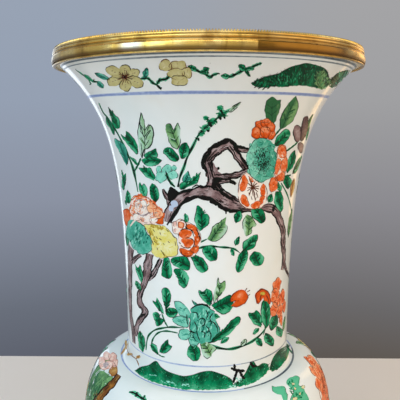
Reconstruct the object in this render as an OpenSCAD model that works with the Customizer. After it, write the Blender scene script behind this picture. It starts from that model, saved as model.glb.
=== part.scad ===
// Yen yen vase: trumpet-necked porcelain, thrown in four sections that are luted
// with slip, with a moulded gilt-metal collar bedded over its lip.
// Millimetres, +Z up, origin at the centre of the standing face.

/* [Porcelain wall] */
// Thickness of the thrown wall, square to its surface
wall = 5; // [4:0.1:6.5]
// Thickness of each slip layer between two sections
slip_t = 0.8; // [0.4:0.1:1.5]

/* [Foot] */
// Height of the foot section, from the standing face to the waist joint
foot_h = 46; // [38:0.5:70]
// Outside radius where the foot meets the table
foot_r = 71; // [64:0.5:82]
// Width of the unglazed standing ring
ring_w = 8; // [5:0.5:12]
// Bevel on both edges of the standing ring
ring_bevel = 1.2; // [0.5:0.1:2]
// Depth of the recess under the base
recess_h = 9; // [5:0.5:14]
// Thickness of the floor of the vase
floor_t = 8; // [5:0.5:12]
// How sharply the foot spreads: higher keeps the spread nearer the table
foot_power = 2; // [1.5:0.1:3]

/* [Lower body] */
// Height of the lower body section, from the waist joint to the belly joint
lower_h = 123; // [90:1:160]
// Outside radius at the waist, the narrowest level of the body
waist_r = 57; // [51:0.5:62]
// Outside radius at the belly, the widest level of the body
belly_r = 98; // [88:0.5:115]

/* [Shoulder] */
// Rise of the shoulder above the belly joint
shoulder_h = 60; // [48:1:85]
// Fullness of the shoulder: 2 is an ellipse, higher is squarer
shoulder_power = 2.6; // [2.2:0.1:4]
// Radius of the hollow where the shoulder turns up into the neck
root_fillet = 6; // [3:0.5:10]

/* [Neck] */
// Height of the neck section, from the root joint to the edge of the lip
neck_h = 213; // [150:1:280]
// Outside radius of the neck at its root
neck_r = 62.7; // [54:0.1:72]
// Spread of the trumpet over the height of the neck
flare_out = 14.8; // [10:0.1:26]
// How gradually the trumpet opens: higher opens later
flare_power = 2.4; // [2:0.1:4]
// Extra spread where the lip turns out
lip_out = 30; // [20:0.1:38]
// How late the lip turns out: higher turns later
lip_power = 7; // [5:0.5:12]

/* [Rim bedding] */
// Bedding between the top of the lip and the collar
bed_top = 1.8; // [0.6:0.1:3]
// Bedding between the side of the lip and the collar
bed_side = 0.5; // [0.3:0.1:1.5]
// How far the bedding runs down below the edge of the lip
bed_drop = 1.4; // [0.8:0.1:2]

/* [Rim collar] */
// Thickness of the collar's flat top
web_t = 2; // [1.2:0.1:3]
// Least thickness of the collar's skirt
skirt_t = 1.1; // [0.7:0.1:1.6]
// Thickness of the band inside the mouth
band_in_t = 1; // [0.6:0.1:1.8]
// Height of the upper reed
upper_reed_h = 1.2; // [0.8:0.1:1.8]
// Stand-out of the upper reed
upper_reed_out = 0.35; // [0.2:0.05:0.6]
// Flat step between the upper and the second reed
step_h = 0.2; // [0.1:0.05:0.5]
// Height of the second reed
second_reed_h = 1.5; // [1:0.1:2.2]
// Stand-out of the second reed
second_reed_out = 0.7; // [0.4:0.05:1]
// Height of the hollow under the second reed
cove_h = 1.1; // [0.7:0.1:1.6]
// Depth of that hollow
cove_in = 0.2; // [0.1:0.05:0.4]
// Height of the thin reed above the broad band
thin_reed_h = 0.8; // [0.5:0.1:1.2]
// Stand-out of the thin reed
thin_reed_out = 0.95; // [0.6:0.05:1.3]
// Height of the broad band
band_h = 4.4; // [3:0.1:6]
// Stand-out of the broad band at its edges
band_out = 1.1; // [0.9:0.05:1.6]
// Extra stand-out of the broad band at its middle
band_crown = 0.4; // [0.2:0.05:0.8]
// Height of the groove under the broad band
groove_h = 0.5; // [0.3:0.05:0.8]
// Height of the lower lip of the collar
lower_lip_h = 0.9; // [0.6:0.1:1.4]
// Stand-out of the lower lip
lower_lip_out = 0.9; // [0.5:0.05:1.2]

/* [Milled edge] */
// Height of the milled wire on top of the collar
milled_h = 1.4; // [1:0.1:2]
// Width of the milled wire
milled_w = 1.7; // [1.2:0.1:2.4]

/* [Hidden] */
$fn = 180;

// Steps along each curve of the wall, and round each small arc
curve_steps = 36;
cover_steps = 3;
arc_step = 22.5;

// Levels of the joints, from the standing face up
lower_z = foot_h + slip_t;
belly_z = lower_z + lower_h;
shoulder_z = belly_z + slip_t;
root_z = shoulder_z + shoulder_h + root_fillet;
neck_z = root_z + slip_t;

porcelain_colour = "#e9eceb";
slip_colour = "#dde2df";
bedding_colour = "#d8d0bd";
metal_colour = "#c39a45";

// A point moved square to the wall by a distance, against its outward normal
function inset(p, n, d) = p - d * n / norm(n);

// Foot: a flare that is upright at the waist
function foot_rad(z) = waist_r + (foot_r - waist_r) * pow(1 - z / foot_h, foot_power);

// Lower body: a smooth swell, upright at the waist and at the belly
function lower_pt(u) = [waist_r + (belly_r - waist_r) * (1 - cos(180 * u)) / 2, lower_z + lower_h * u];
function lower_nrm(u) = [lower_h, -(belly_r - waist_r) * PI / 2 * sin(180 * u)];

// Shoulder: a superellipse, upright at the belly and level where it meets the root hollow
shoulder_in = neck_r + root_fillet;
shoulder_out = belly_r - shoulder_in;
function shoulder_pt(a) = [shoulder_in + shoulder_out * pow(cos(a), 2 / shoulder_power),
                           shoulder_z + shoulder_h * pow(sin(a), 2 / shoulder_power)];
function shoulder_nrm(a) = [pow(cos(a), 2 - 2 / shoulder_power) / shoulder_out,
                            pow(sin(a), 2 - 2 / shoulder_power) / shoulder_h];
// Root hollow: a quarter round from the shoulder up to the neck
function root_pt(a) = [shoulder_in - root_fillet * sin(a), root_z - root_fillet * cos(a)];
function root_nrm(a) = [sin(a), cos(a)];

// Neck: a trumpet, upright at the root, whose lip turns out further
function neck_pt(t) = [neck_r + flare_out * pow(t, flare_power) + lip_out * pow(t, lip_power),
                       neck_z + neck_h * t];
function neck_nrm(t) = [neck_h, -flare_out * flare_power * pow(t, flare_power - 1)
                                - lip_out * lip_power * pow(t, lip_power - 1)];
function neck_inner(t) = inset(neck_pt(t), neck_nrm(t), wall);
cover_t = 1 - bed_drop / neck_h;
neck_ts = [for (i = [0 : curve_steps]) cover_t * i / curve_steps];
cover_ts = [for (i = [1 : cover_steps]) cover_t + (1 - cover_t) * i / cover_steps];

// Lip: a half round over the end of the wall
lip_mid = inset(neck_pt(1), neck_nrm(1), wall / 2);
lip_dir = atan2(neck_nrm(1).y, neck_nrm(1).x);
lip_arc = [for (a = [arc_step : arc_step : 180 - arc_step])
           lip_mid + wall / 2 * [cos(lip_dir + a), sin(lip_dir + a)]];
lip_top = lip_mid.y + wall / 2;

// Collar: the channel that goes over the lip, with its bedding
skirt_in = lip_mid.x + wall / 2 + bed_side;
skirt_r = skirt_in + skirt_t;
web_under = lip_top + bed_top;
web_top = web_under + web_t;
band_in_out = neck_inner(cover_t).x;
mouth_r = band_in_out - band_in_t;

// Levels of the collar's mouldings, from its top down
second_reed_z = web_top - upper_reed_h - step_h;
cove_z = second_reed_z - second_reed_h;
thin_reed_z = cove_z - cove_h;
band_z = thin_reed_z - thin_reed_h;
groove_z = band_z - band_h;
lower_lip_z = groove_z - groove_h;
collar_low = lower_lip_z - lower_lip_h;

// A rounded moulding on the skirt, from its upper level down: base stand-out, then crown
function moulding(z, h, base, crown) = [for (a = [0 : arc_step : 180])
    [skirt_r + base + crown * sin(a), z - h / 2 + h / 2 * cos(a)]];

function reversed(list) = [for (i = [len(list) - 1 : -1 : 0]) list[i]];

module turned(points) { rotate_extrude() polygon(points); }

module slip_layer(r, z) {
    color(slip_colour) turned([[r - wall, z], [r, z], [r, z + slip_t], [r - wall, z + slip_t]]);
}

module foot_section() {
    floor_z = recess_h + floor_t;
    ring_r = foot_r - ring_w;
    outer = [for (i = [0 : curve_steps])
             let (z = ring_bevel + (foot_h - ring_bevel) * i / curve_steps) [foot_rad(z), z]];
    inner = [for (i = [curve_steps : -1 : 0])
             let (z = floor_z + (foot_h - floor_z) * i / curve_steps) [foot_rad(z) - wall, z]];
    base = [[0, floor_z], [0, recess_h], [ring_r - ring_bevel, recess_h], [ring_r - ring_bevel, ring_bevel],
            [ring_r, 0], [foot_rad(ring_bevel) - ring_bevel, 0]];
    color(porcelain_colour) turned(concat(base, outer, inner));
}

module waist_slip() { slip_layer(waist_r, foot_h); }

module lower_body_section() {
    us = [for (i = [0 : curve_steps]) i / curve_steps];
    outer = [for (u = us) lower_pt(u)];
    inner = [for (u = us) inset(lower_pt(u), lower_nrm(u), wall)];
    color(porcelain_colour) turned(concat(outer, reversed(inner)));
}

module belly_slip() { slip_layer(belly_r, belly_z); }

module shoulder_section() {
    dome = [for (i = [0 : curve_steps]) 90 * i / curve_steps];
    hollow = [for (a = [arc_step : arc_step : 90]) a];
    outer = concat([for (a = dome) shoulder_pt(a)], [for (a = hollow) root_pt(a)]);
    inner = concat([for (a = dome) inset(shoulder_pt(a), shoulder_nrm(a), wall)],
                   [for (a = hollow) inset(root_pt(a), root_nrm(a), wall)]);
    color(porcelain_colour) turned(concat(outer, reversed(inner)));
}

module neck_slip() { slip_layer(neck_r, root_z); }

module neck_section() {
    ts = concat(neck_ts, cover_ts);
    outer = [for (t = ts) neck_pt(t)];
    inner = [for (t = ts) neck_inner(t)];
    color(porcelain_colour) turned(concat(outer, lip_arc, reversed(inner)));
}

module rim_bedding() {
    ts = concat([cover_t], cover_ts);
    lip = concat([for (t = ts) neck_pt(t)], lip_arc, [for (t = reversed(ts)) neck_inner(t)]);
    channel = [[band_in_out, web_under], [skirt_in, web_under], [skirt_in, neck_pt(cover_t).y]];
    color(bedding_colour) turned(concat(lip, channel));
}

module inner_rim_band() {
    low = neck_inner(cover_t).y;
    color(metal_colour) turned([[mouth_r, low], [band_in_out, low], [band_in_out, web_under], [mouth_r, web_under]]);
}

module rim_collar() {
    face = concat(moulding(web_top, upper_reed_h, 0, upper_reed_out),
                  moulding(second_reed_z, second_reed_h, 0, second_reed_out),
                  moulding(cove_z, cove_h, 0, -cove_in),
                  moulding(thin_reed_z, thin_reed_h, 0, thin_reed_out),
                  moulding(band_z, band_h, band_out, band_crown),
                  [[skirt_r, groove_z], [skirt_r, lower_lip_z]],
                  moulding(lower_lip_z, lower_lip_h, 0, lower_lip_out));
    channel = [[skirt_in, collar_low], [skirt_in, web_under], [mouth_r, web_under], [mouth_r, web_top]];
    color(metal_colour) turned(concat(face, channel));
}

module milled_edge() {
    crown = [for (a = [0 : arc_step : 180])
             [skirt_r - milled_w / 2 + milled_w / 2 * cos(a), web_top + milled_h * sin(a)]];
    color(metal_colour) turned(crown);
}

foot_section();
waist_slip();
lower_body_section();
belly_slip();
shoulder_section();
neck_slip();
neck_section();
rim_bedding();
inner_rim_band();
rim_collar();
milled_edge();
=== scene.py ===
import bpy, random
import numpy as np
from math import atan2, ceil, copysign, cos, dist, hypot, pi, radians, sin
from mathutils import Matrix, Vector


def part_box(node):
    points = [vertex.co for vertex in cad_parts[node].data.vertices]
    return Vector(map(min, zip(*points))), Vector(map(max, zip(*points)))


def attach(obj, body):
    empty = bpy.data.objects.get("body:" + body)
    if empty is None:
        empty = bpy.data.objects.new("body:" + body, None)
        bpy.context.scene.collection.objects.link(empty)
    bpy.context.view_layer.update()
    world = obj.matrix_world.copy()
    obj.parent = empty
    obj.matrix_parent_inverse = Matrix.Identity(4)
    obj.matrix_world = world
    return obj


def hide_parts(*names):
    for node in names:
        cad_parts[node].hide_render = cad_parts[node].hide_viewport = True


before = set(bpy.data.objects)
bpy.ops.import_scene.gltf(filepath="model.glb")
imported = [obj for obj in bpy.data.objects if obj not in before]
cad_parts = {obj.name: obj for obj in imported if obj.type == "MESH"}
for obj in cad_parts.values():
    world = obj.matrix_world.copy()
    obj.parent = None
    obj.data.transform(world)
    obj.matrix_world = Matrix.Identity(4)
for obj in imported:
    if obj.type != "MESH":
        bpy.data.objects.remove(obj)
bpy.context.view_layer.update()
dice = random.Random(11)
roll, pick = dice.uniform, dice.choice

# Camera at the photograph's angle, for a 400 pixel frame
view = {"lens": 46.43, "sensor": 36.0, "pixels": 400, "eye": (0.0, -0.3927, 0.4111), "down": 8.65, "left": 0.843}
bpy.ops.object.select_all(action="DESELECT")
bpy.ops.object.camera_add(location=view["eye"], rotation=(radians(90 - view["down"]), 0, radians(view["left"])))
camera = bpy.context.object
camera.data.lens, camera.data.sensor_width = view["lens"], view["sensor"]
bpy.context.scene.camera = camera
bpy.context.scene.view_settings.view_transform = "Standard"
print("camera set")


class Wire:  # a shader socket that takes plain sums
    def __init__(self, finish, socket):
        self.finish, self.socket = finish, socket

    def sums(self, operation, first, second):
        return self.finish.add("Math", {"operation": operation}, {0: first, 1: second})

    def __add__(self, other): return self.sums("ADD", self, other)
    def __radd__(self, other): return self.sums("ADD", other, self)
    def __sub__(self, other): return self.sums("SUBTRACT", self, other)
    def __rsub__(self, other): return self.sums("SUBTRACT", other, self)
    def __mul__(self, other): return self.sums("MULTIPLY", self, other)
    def __rmul__(self, other): return self.sums("MULTIPLY", other, self)
    def __truediv__(self, other): return self.sums("DIVIDE", self, other)
    def __pow__(self, other): return self.sums("POWER", self, other)


class Finish:  # one material and the nodes in it
    def __init__(self, name, owner=None):
        self.owner = owner or bpy.data.materials.new(name)
        self.owner.use_nodes = True
        self.tree = self.owner.node_tree
        self.shader = self.tree.nodes.get("Principled BSDF")

    def add(self, kind, settings=None, sockets=None, out=0):
        node = self.tree.nodes.new("ShaderNode" + kind)
        for key, value in (settings or {}).items():
            if key == "stops":
                for i, (place, colour) in enumerate(value):
                    stop = node.color_ramp.elements[i] if i < 2 else node.color_ramp.elements.new(place)
                    stop.position, stop.color = place, colour
            else:
                setattr(node, key, value)
        for key, value in (sockets or {}).items():
            self.plug(node.inputs[key], value)
        return Wire(self, node.outputs[out])

    def plug(self, socket, value):
        if isinstance(value, Wire):
            self.tree.links.new(value.socket, socket)
        else:
            socket.default_value = value

    def coat(self, values):
        for key, value in values.items():
            self.plug(self.shader.inputs[key], value)
        return self.owner

    def spot(self):
        return self.add("TexCoord", out=3)

    def axis(self, way):
        return self.add("SeparateXYZ", None, {0: self.spot()}, "XYZ".index(way))

    def noise(self, scale, detail=3.0, rough=0.55, stretch=None):
        where = self.spot()
        if stretch:
            where = self.add("Mapping", None, {"Vector": where, "Scale": stretch})
        return self.add("TexNoise", None, {"Vector": where, "Scale": scale, "Detail": detail, "Roughness": rough})

    def step(self, value, low, high, first=0.0, last=1.0):
        return self.add("MapRange", {"interpolation_type": "SMOOTHSTEP"},
            {0: value, 1: low, 2: high, 3: first, 4: last})

    def mix(self, part, first, second):
        return self.add("Mix", {"data_type": "RGBA"}, {0: part, 6: first, 7: second}, 2)

    def ramp(self, value, stops):
        return self.add("ValToRGB", {"stops": stops}, {0: value})

    def bump(self, height, depth, strength=1.0):
        return self.add("Bump", None, {"Height": height, "Distance": depth, "Strength": strength})


def hue(red, green, blue):  # screen colour, 0 to 255, as the shader wants it
    part = [c / 255 for c in (red, green, blue)]
    return tuple(c / 12.92 if c <= 0.04045 else ((c + 0.055) / 1.055) ** 2.4 for c in part) + (1.0,)


# Porcelain glaze: cool white, a little cloudy, with pinholes and a faint ripple
glaze = {"white": hue(240, 242, 239), "cool": hue(222, 232, 230), "warm": hue(238, 234, 222), "speck": hue(96, 82, 66),
    "roughness": 0.09}


def glazeFinish(name):
    kit = Finish(name)
    cloud = kit.noise(9.0, 4.0)
    drift = kit.noise(31.0, 3.0)
    body = kit.mix(kit.step(cloud, 0.42, 0.72), glaze["white"], glaze["cool"])
    body = kit.mix(kit.step(drift, 0.55, 0.85, 0.0, 0.5), body, glaze["warm"])
    pits = kit.add("TexVoronoi", {"feature": "F1"}, {"Vector": kit.spot(), "Scale": 140.0})
    few = kit.step(kit.noise(260.0, 1.0), 0.66, 0.70)
    speck = kit.step(pits, 0.10, 0.03) * few
    body = kit.mix(speck * 0.55, body, glaze["speck"])
    ripple = kit.noise(70.0, 2.0) * 0.7 + kit.noise(420.0, 1.0) * 0.12
    return kit.coat({"Base Color": body, "Roughness": glaze["roughness"] + 0.06 * drift, "IOR": 1.5,
        "Normal": kit.bump(ripple, 0.0006, 0.10)})


biscuit = {"light": hue(214, 196, 168), "dark": hue(172, 142, 108)}


def biscuitFinish(name):  # the bare clay of the standing ring
    kit = Finish(name)
    grain = kit.noise(380.0, 5.0, 0.7)
    stain = kit.noise(24.0, 3.0)
    return kit.coat({"Base Color": kit.mix(kit.step(stain * 0.6 + grain * 0.4, 0.38, 0.66), biscuit["light"],
        biscuit["dark"]), "Roughness": 0.72 + 0.18 * grain, "Normal": kit.bump(grain, 0.0004, 0.5)})


bedding = {"light": hue(222, 214, 196), "dark": hue(186, 172, 146)}


def beddingFinish(name):
    kit = Finish(name)
    grain = kit.noise(240.0, 5.0, 0.7)
    return kit.coat({"Base Color": kit.mix(grain, bedding["light"], bedding["dark"]), "Roughness": 0.9,
        "Normal": kit.bump(grain, 0.0005, 0.6)})


# Gilt metal: worn gold over brass, dark lines between the mouldings, painted shade low on the broad band and on the
# front's right side, and painted reflections: a pale stripe on the band and a pale left end, on the front
gilt = {"gold": hue(242, 196, 98), "pale": hue(248, 212, 132), "brass": hue(124, 88, 24), "shade": hue(176, 130, 58),
    "reflectedSilver": hue(238, 234, 224), "tarnishAndShade": hue(92, 62, 22), "rightShadeX": 0.0268, "paintedGlintX": -0.042}


def giltFinish(name, hollows, broad):
    kit = Finish(name)
    wear = kit.noise(52.0, 4.0, 0.6)
    patch = kit.noise(40.0, 2.0, 0.5, (1.0, 1.0, 1.8))
    streak = kit.noise(230.0, 3.0, 0.6, (1.0, 1.0, 0.15))
    across, level = kit.axis("X"), kit.axis("Z")
    metal = kit.mix(kit.step(patch, 0.46, 0.56, 0.0, 0.9), gilt["gold"], gilt["pale"])
    metal = kit.mix(kit.step(wear, 0.53, 0.62, 0.0, 0.6), metal, gilt["shade"])
    metal = kit.mix(kit.step(streak, 0.50, 0.72, 0.0, 0.55), metal, gilt["brass"])
    onBand = kit.step(level, broad[0] - 0.0002, broad[0]) * kit.step(level, broad[1] + 0.0002, broad[1])
    # painted reflection: a narrow pale stripe down the broad band and the far left end of the collar, on the front
    # only, stand for light reflected in the gilt
    paintedGlint = kit.add("Math", {"operation": "ABSOLUTE"}, {0: across - gilt["paintedGlintX"]})
    paintedGlint = kit.step(paintedGlint, 0.009, 0.002, 0.0, 0.6) * onBand + kit.step(across, -0.090, -0.109, 0.0, 0.7)
    metal = kit.mix(paintedGlint * kit.step(kit.axis("Y"), 0.02, -0.03), metal, gilt["reflectedSilver"])
    # painted shade: the front's right side of the collar is darkened towards brass, most on the broad band, to stand
    # for shade there
    rightShade = kit.step(across, gilt["rightShadeX"] - 0.0003, gilt["rightShadeX"] + 0.0003) * kit.step(kit.axis("Y"), 0.0, -0.02)
    metal = kit.mix(rightShade * (0.40 + 0.56 * onBand) * kit.step(across, 0.090, 0.080), metal, gilt["brass"])
    # painted shade: the lower part of the broad band is darkened, for the shade it turns towards
    bandShade = kit.step(level, broad[0] + 0.0026, broad[0] + 0.0004, 0.0, 0.8) * onBand
    grimeAndShade = kit.step(kit.noise(90.0, 4.0, 0.7), 0.58, 0.80) * 0.4
    for low, high in hollows:  # darker between the mouldings
        middle, reach = (low + high) / 2, (high - low) / 2
        away = kit.add("Math", {"operation": "ABSOLUTE"}, {0: level - middle})
        hollowDark = kit.step(away, reach * 1.3, reach * 0.6, 0.0, 0.55)
        grimeAndShade = kit.add("Math", {"operation": "MAXIMUM"}, {0: grimeAndShade, 1: hollowDark})
    # the painted shade low on the band joins the random grime and the darkened hollows in one mask
    grimeAndShade = kit.add("Math", {"operation": "MAXIMUM"}, {0: grimeAndShade, 1: bandShade})
    metal = kit.mix(grimeAndShade, metal, gilt["tarnishAndShade"])
    dents = kit.noise(64.0, 2.0) * 0.75 + kit.noise(260.0, 2.0) * 0.12 + streak * 0.13
    return kit.coat({"Base Color": metal, "Metallic": 0.88, "Roughness": 0.18 + 0.14 * wear + 0.20 * grimeAndShade,
        "Coat Weight": 0.06, "Coat Roughness": 0.10, "Normal": kit.bump(dents, 0.0012, 0.42)})


# Painted enamels: slot, gloss, then the wash from pale through full to pooled, by the brush's own tone
enamels = {
    "green": ("green_enamel", 0.20, (92, 190, 148), (2, 136, 86), (0, 66, 40)),
    "lime": ("green_enamel", 0.22, (188, 220, 200), (128, 176, 114), (48, 106, 66)),
    "turquoise": ("turquoise_enamel", 0.20, (146, 220, 198), (70, 170, 145), (18, 108, 90)),
    "red": ("iron_red", 0.36, (247, 186, 142), (228, 94, 26), (176, 52, 8)),
    "blush": ("iron_red", 0.30, (250, 244, 236), (246, 218, 202), (222, 160, 144)),
    "yellow": ("yellow_enamel", 0.22, (240, 234, 180), (228, 214, 102), (180, 150, 48)),
    "straw": ("yellow_enamel", 0.22, (222, 214, 168), (200, 190, 130), (150, 130, 70)),
    "ochre": ("yellow_enamel", 0.26, (214, 178, 100), (166, 110, 46), (96, 54, 22)),
    "aubergine": ("aubergine_enamel", 0.22, (198, 182, 182), (142, 115, 115), (76, 54, 56)),
    "ink": ("black_line", 0.48, (20, 17, 16), (4, 44, 30), (98, 40, 20)),
    "slate": ("blue_line", 0.20, (172, 184, 190), (122, 136, 144), (66, 74, 86)),
    "blue": ("blue_line", 0.12, (190, 203, 224), (142, 160, 206), (112, 132, 186)),
}


def enamelFinish(name, look):
    kit = Finish(name)
    tone = kit.add("Attribute", {"attribute_name": "tone", "attribute_type": "GEOMETRY"}, out=2)
    pool = kit.noise(260.0, 4.0, 0.6)
    wash = kit.noise(700.0, 3.0, 0.65)
    depth = tone + (pool - 0.5) * 0.95 + (wash - 0.5) * 0.50
    _, gloss, *stops = look
    pale, full, deep = (hue(*c) for c in stops)
    colour = kit.ramp(depth, ((0.0, pale), (1.0, deep), (0.5, full)))
    return kit.coat({"Base Color": colour, "Roughness": gloss + 0.10 * pool, "IOR": 1.5, "Specular IOR Level": 0.10,
        "Normal": kit.bump(pool * 0.6 + wash * 0.2, 0.0005, 0.12)})


print("finishes ready")

# The ware's outer line, from the frame's levels and the part's own curves
ware = {"wall": 0.005, "footRadius": 0.071, "footPower": 2.0, "ringWidth": 0.008, "ringBevel": 0.0012, "recess": 0.009,
    "floor": 0.008, "shoulderPower": 2.6, "rootFillet": 0.006, "flareOut": 0.0148, "flarePower": 2.4, "lipOut": 0.030,
    "lipPower": 7.0, "neckHeight": 0.213, "around": 192}
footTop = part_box("waist_slip")[0].z
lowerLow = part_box("waist_slip")[1].z
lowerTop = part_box("belly_slip")[0].z
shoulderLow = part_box("belly_slip")[1].z
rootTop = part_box("neck_slip")[0].z
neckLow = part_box("neck_slip")[1].z
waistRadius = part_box("waist_slip")[1].x
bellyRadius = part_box("belly_slip")[1].x
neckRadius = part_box("neck_slip")[1].x
shoulderIn = neckRadius + ware["rootFillet"]
domeTop = rootTop - ware["rootFillet"]


def between(count, edge=0.012):  # 0 to 1 with a close row at each end, for a clean seam
    return [0.0, edge] + [i / count for i in range(1, count)] + [1.0 - edge, 1.0]


def footSpot(u):
    z = ware["ringBevel"] + (footTop - ware["ringBevel"]) * u
    return waistRadius + (ware["footRadius"] - waistRadius) * (1 - z / footTop) ** ware["footPower"], z


def lowerSpot(u):
    return waistRadius + (bellyRadius - waistRadius) * (1 - cos(pi * u)) / 2, lowerLow + (lowerTop - lowerLow) * u


def shoulderSpot(u):
    a, power = pi / 2 * u, 2 / ware["shoulderPower"]
    return (shoulderIn + (bellyRadius - shoulderIn) * max(cos(a), 0.0) ** power,
        shoulderLow + (domeTop - shoulderLow) * sin(a) ** power)


def rootSpot(u):
    a = pi / 2 * u
    return shoulderIn - ware["rootFillet"] * sin(a), rootTop - ware["rootFillet"] * cos(a)


def neckSpot(u):
    return (neckRadius + ware["flareOut"] * u ** ware["flarePower"] + ware["lipOut"] * u ** ware["lipPower"],
        neckLow + ware["neckHeight"] * u)


def inward(line, wall):  # the same line moved square to the wall
    line = np.array(line)
    run = np.gradient(line, axis=0)
    run /= np.linalg.norm(run, axis=1)[:, None]
    return [tuple(p) for p in line - wall * np.stack([run[:, 1], -run[:, 0]], 1)]


def turned(name, outline, closed=True, around=ware["around"]):
    bpy.ops.object.select_all(action="DESELECT")
    bpy.ops.mesh.primitive_circle_add(vertices=len(outline), radius=0.1)
    piece = bpy.context.object
    piece.name = piece.data.name = name
    for corner, (r, z) in zip(piece.data.vertices, outline):
        corner.co = (r, 0.0, z)
    bpy.ops.object.mode_set(mode="EDIT")
    if not closed:  # the edge along the axis goes before the spin
        bpy.ops.mesh.select_all(action="DESELECT")
        bpy.ops.object.mode_set(mode="OBJECT")
        for edge in piece.data.edges:
            edge.select = all(abs(piece.data.vertices[i].co.x) < 1e-9 for i in edge.vertices)
        bpy.ops.object.mode_set(mode="EDIT")
        bpy.ops.mesh.delete(type="EDGE")
    bpy.ops.mesh.select_all(action="SELECT")
    bpy.ops.mesh.spin(steps=around, angle=2 * pi, center=(0, 0, 0), axis=(0, 0, 1))
    bpy.ops.mesh.select_all(action="SELECT")
    bpy.ops.mesh.remove_doubles(threshold=1e-6)
    bpy.ops.mesh.normals_make_consistent(inside=False)
    bpy.ops.object.mode_set(mode="OBJECT")
    bpy.ops.object.shade_smooth_by_angle(angle=radians(40))
    return piece


def dress(piece, material, slot, *nodes):
    piece.data.materials.clear()
    piece.data.materials.append(material)
    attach(piece, "root")
    if nodes:
        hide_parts(*nodes)
    return piece


porcelain = glazeFinish("porcelainGlaze")
bareClay = biscuitFinish("bareClay")
neckOut = [neckSpot(u) for u in between(72)]
neckIn = inward(neckOut, ware["wall"])
lipMid = (np.array(neckOut[-1]) + np.array(neckIn[-1])) / 2
lipFrom = atan2(neckOut[-1][1] - lipMid[1], neckOut[-1][0] - lipMid[0])
lipRound = [(lipMid[0] + ware["wall"] / 2 * cos(a), lipMid[1] + ware["wall"] / 2 * sin(a))
    for a in [lipFrom + pi * k / 12 for k in range(1, 12)]]
dress(turned("neckWare", neckOut + lipRound + neckIn[::-1]), porcelain, "porcelain", "neck_section")

shoulderOut = [shoulderSpot(u) for u in between(44)][:-1] + [rootSpot(u) for u in [0.0] + between(14, 0.02)[1:]]
dress(turned("shoulderWare", shoulderOut + inward(shoulderOut, ware["wall"])[::-1]), porcelain, "porcelain",
    "shoulder_section")

lowerOut = [lowerSpot(u) for u in between(48)]
dress(turned("lowerBodyWare", lowerOut + inward(lowerOut, ware["wall"])[::-1]), porcelain, "porcelain",
    "lower_body_section")

footOut = [footSpot(u) for u in between(30)]
floorTop = ware["recess"] + ware["floor"]
footIn = [(r - ware["wall"], z) for r, z in footOut if z > floorTop + 0.003]
well = footIn[0][0]
wellRound = [(well - 0.003 + 0.003 * sin(a), floorTop + 0.003 - 0.003 * cos(a))
    for a in [pi / 2 * k / 5 for k in range(5)]]
ringIn = ware["footRadius"] - ware["ringWidth"]
ringOut = footOut[0][0] - ware["ringBevel"]
base = [(0.0, ware["recess"]), (ringIn * 0.5, ware["recess"]), (ringIn - 0.0042, ware["recess"]),
    (ringIn - 0.0022, ware["recess"] - 0.0006), (ringIn - 0.0013, ware["recess"] - 0.0022),
    (ringIn - ware["ringBevel"], ware["ringBevel"]), (ringIn, 0.0), (ringOut, 0.0),
    (ringOut + ware["ringBevel"] * 0.75, ware["ringBevel"] * 0.3)]
footWare = turned("footWare", base + footOut + footIn[::-1] + wellRound[::-1] + [(0.0, floorTop)], closed=False)
dress(footWare, porcelain, "porcelain", "foot_section")
footWare.data.materials.append(bareClay)
for face in footWare.data.polygons:  # the ring itself is bare
    if face.center.z < ware["ringBevel"] * 1.02 and hypot(face.center.x, face.center.y) > ringIn - 0.0014:
        face.material_index = 1

for name, node, radius, low, high in (("waistJoint", "waist_slip", waistRadius, footTop, lowerLow),
        ("bellyJoint", "belly_slip", bellyRadius, lowerTop, shoulderLow),
        ("neckJoint", "neck_slip", neckRadius, rootTop, neckLow)):
    ring = turned(name, [(radius - ware["wall"], low), (radius, low), (radius, high), (radius - ware["wall"], high)])
    dress(ring, porcelain, "slip", node)
print("porcelain turned")

# Gilt collar over the lip, with its mouldings
collar = {"upperReed": (0.0012, 0.0, 0.00035), "step": 0.0002, "secondReed": (0.0015, 0.0, 0.0007),
    "cove": (0.0011, 0.0, -0.0002), "thinReed": (0.0008, 0.0, 0.00095), "band": (0.0044, 0.0011, 0.0004),
    "groove": 0.0005, "lowerLip": (0.0009, 0.0, 0.0009), "skirt": 0.0011, "web": 0.002, "around": 256}
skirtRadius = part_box("milled_edge")[1].x
skirtIn = skirtRadius - collar["skirt"]
webTop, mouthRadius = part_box("rim_collar")[1].z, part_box("inner_rim_band")[1].x - 0.001
hollows, broad, face, level = [], (0.0, 0.0), [], webTop
for part in ("upperReed", "step", "secondReed", "cove", "thinReed", "band", "groove", "lowerLip"):
    if isinstance(collar[part], float):
        if part == "groove":
            face += [(skirtRadius, level), (skirtRadius, level - collar[part])]
        hollows.append((level - collar[part] - 0.00015, level + 0.00015))
        level -= collar[part]
        continue
    tall, base0, crown = collar[part]
    face += [(skirtRadius + base0 + crown * sin(pi * k / 10), level - tall / 2 + tall / 2 * cos(pi * k / 10))
        for k in range(11)]
    if crown < 0:
        hollows.append((level - tall, level))
    if part == "band":
        broad = (level - tall, level)
    level -= tall
collarLine = []
for spot in face + [(skirtIn, level), (skirtIn, webTop - collar["web"]), (mouthRadius, webTop - collar["web"]),
        (mouthRadius, webTop)]:
    if not collarLine or dist(spot, collarLine[-1]) > 2e-5:
        collarLine.append(spot)
giltMetal = giltFinish("giltMetal", hollows, broad)
dress(turned("rimCollar", collarLine, around=collar["around"]), giltMetal, "gilt_metal", "rim_collar")

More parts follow.
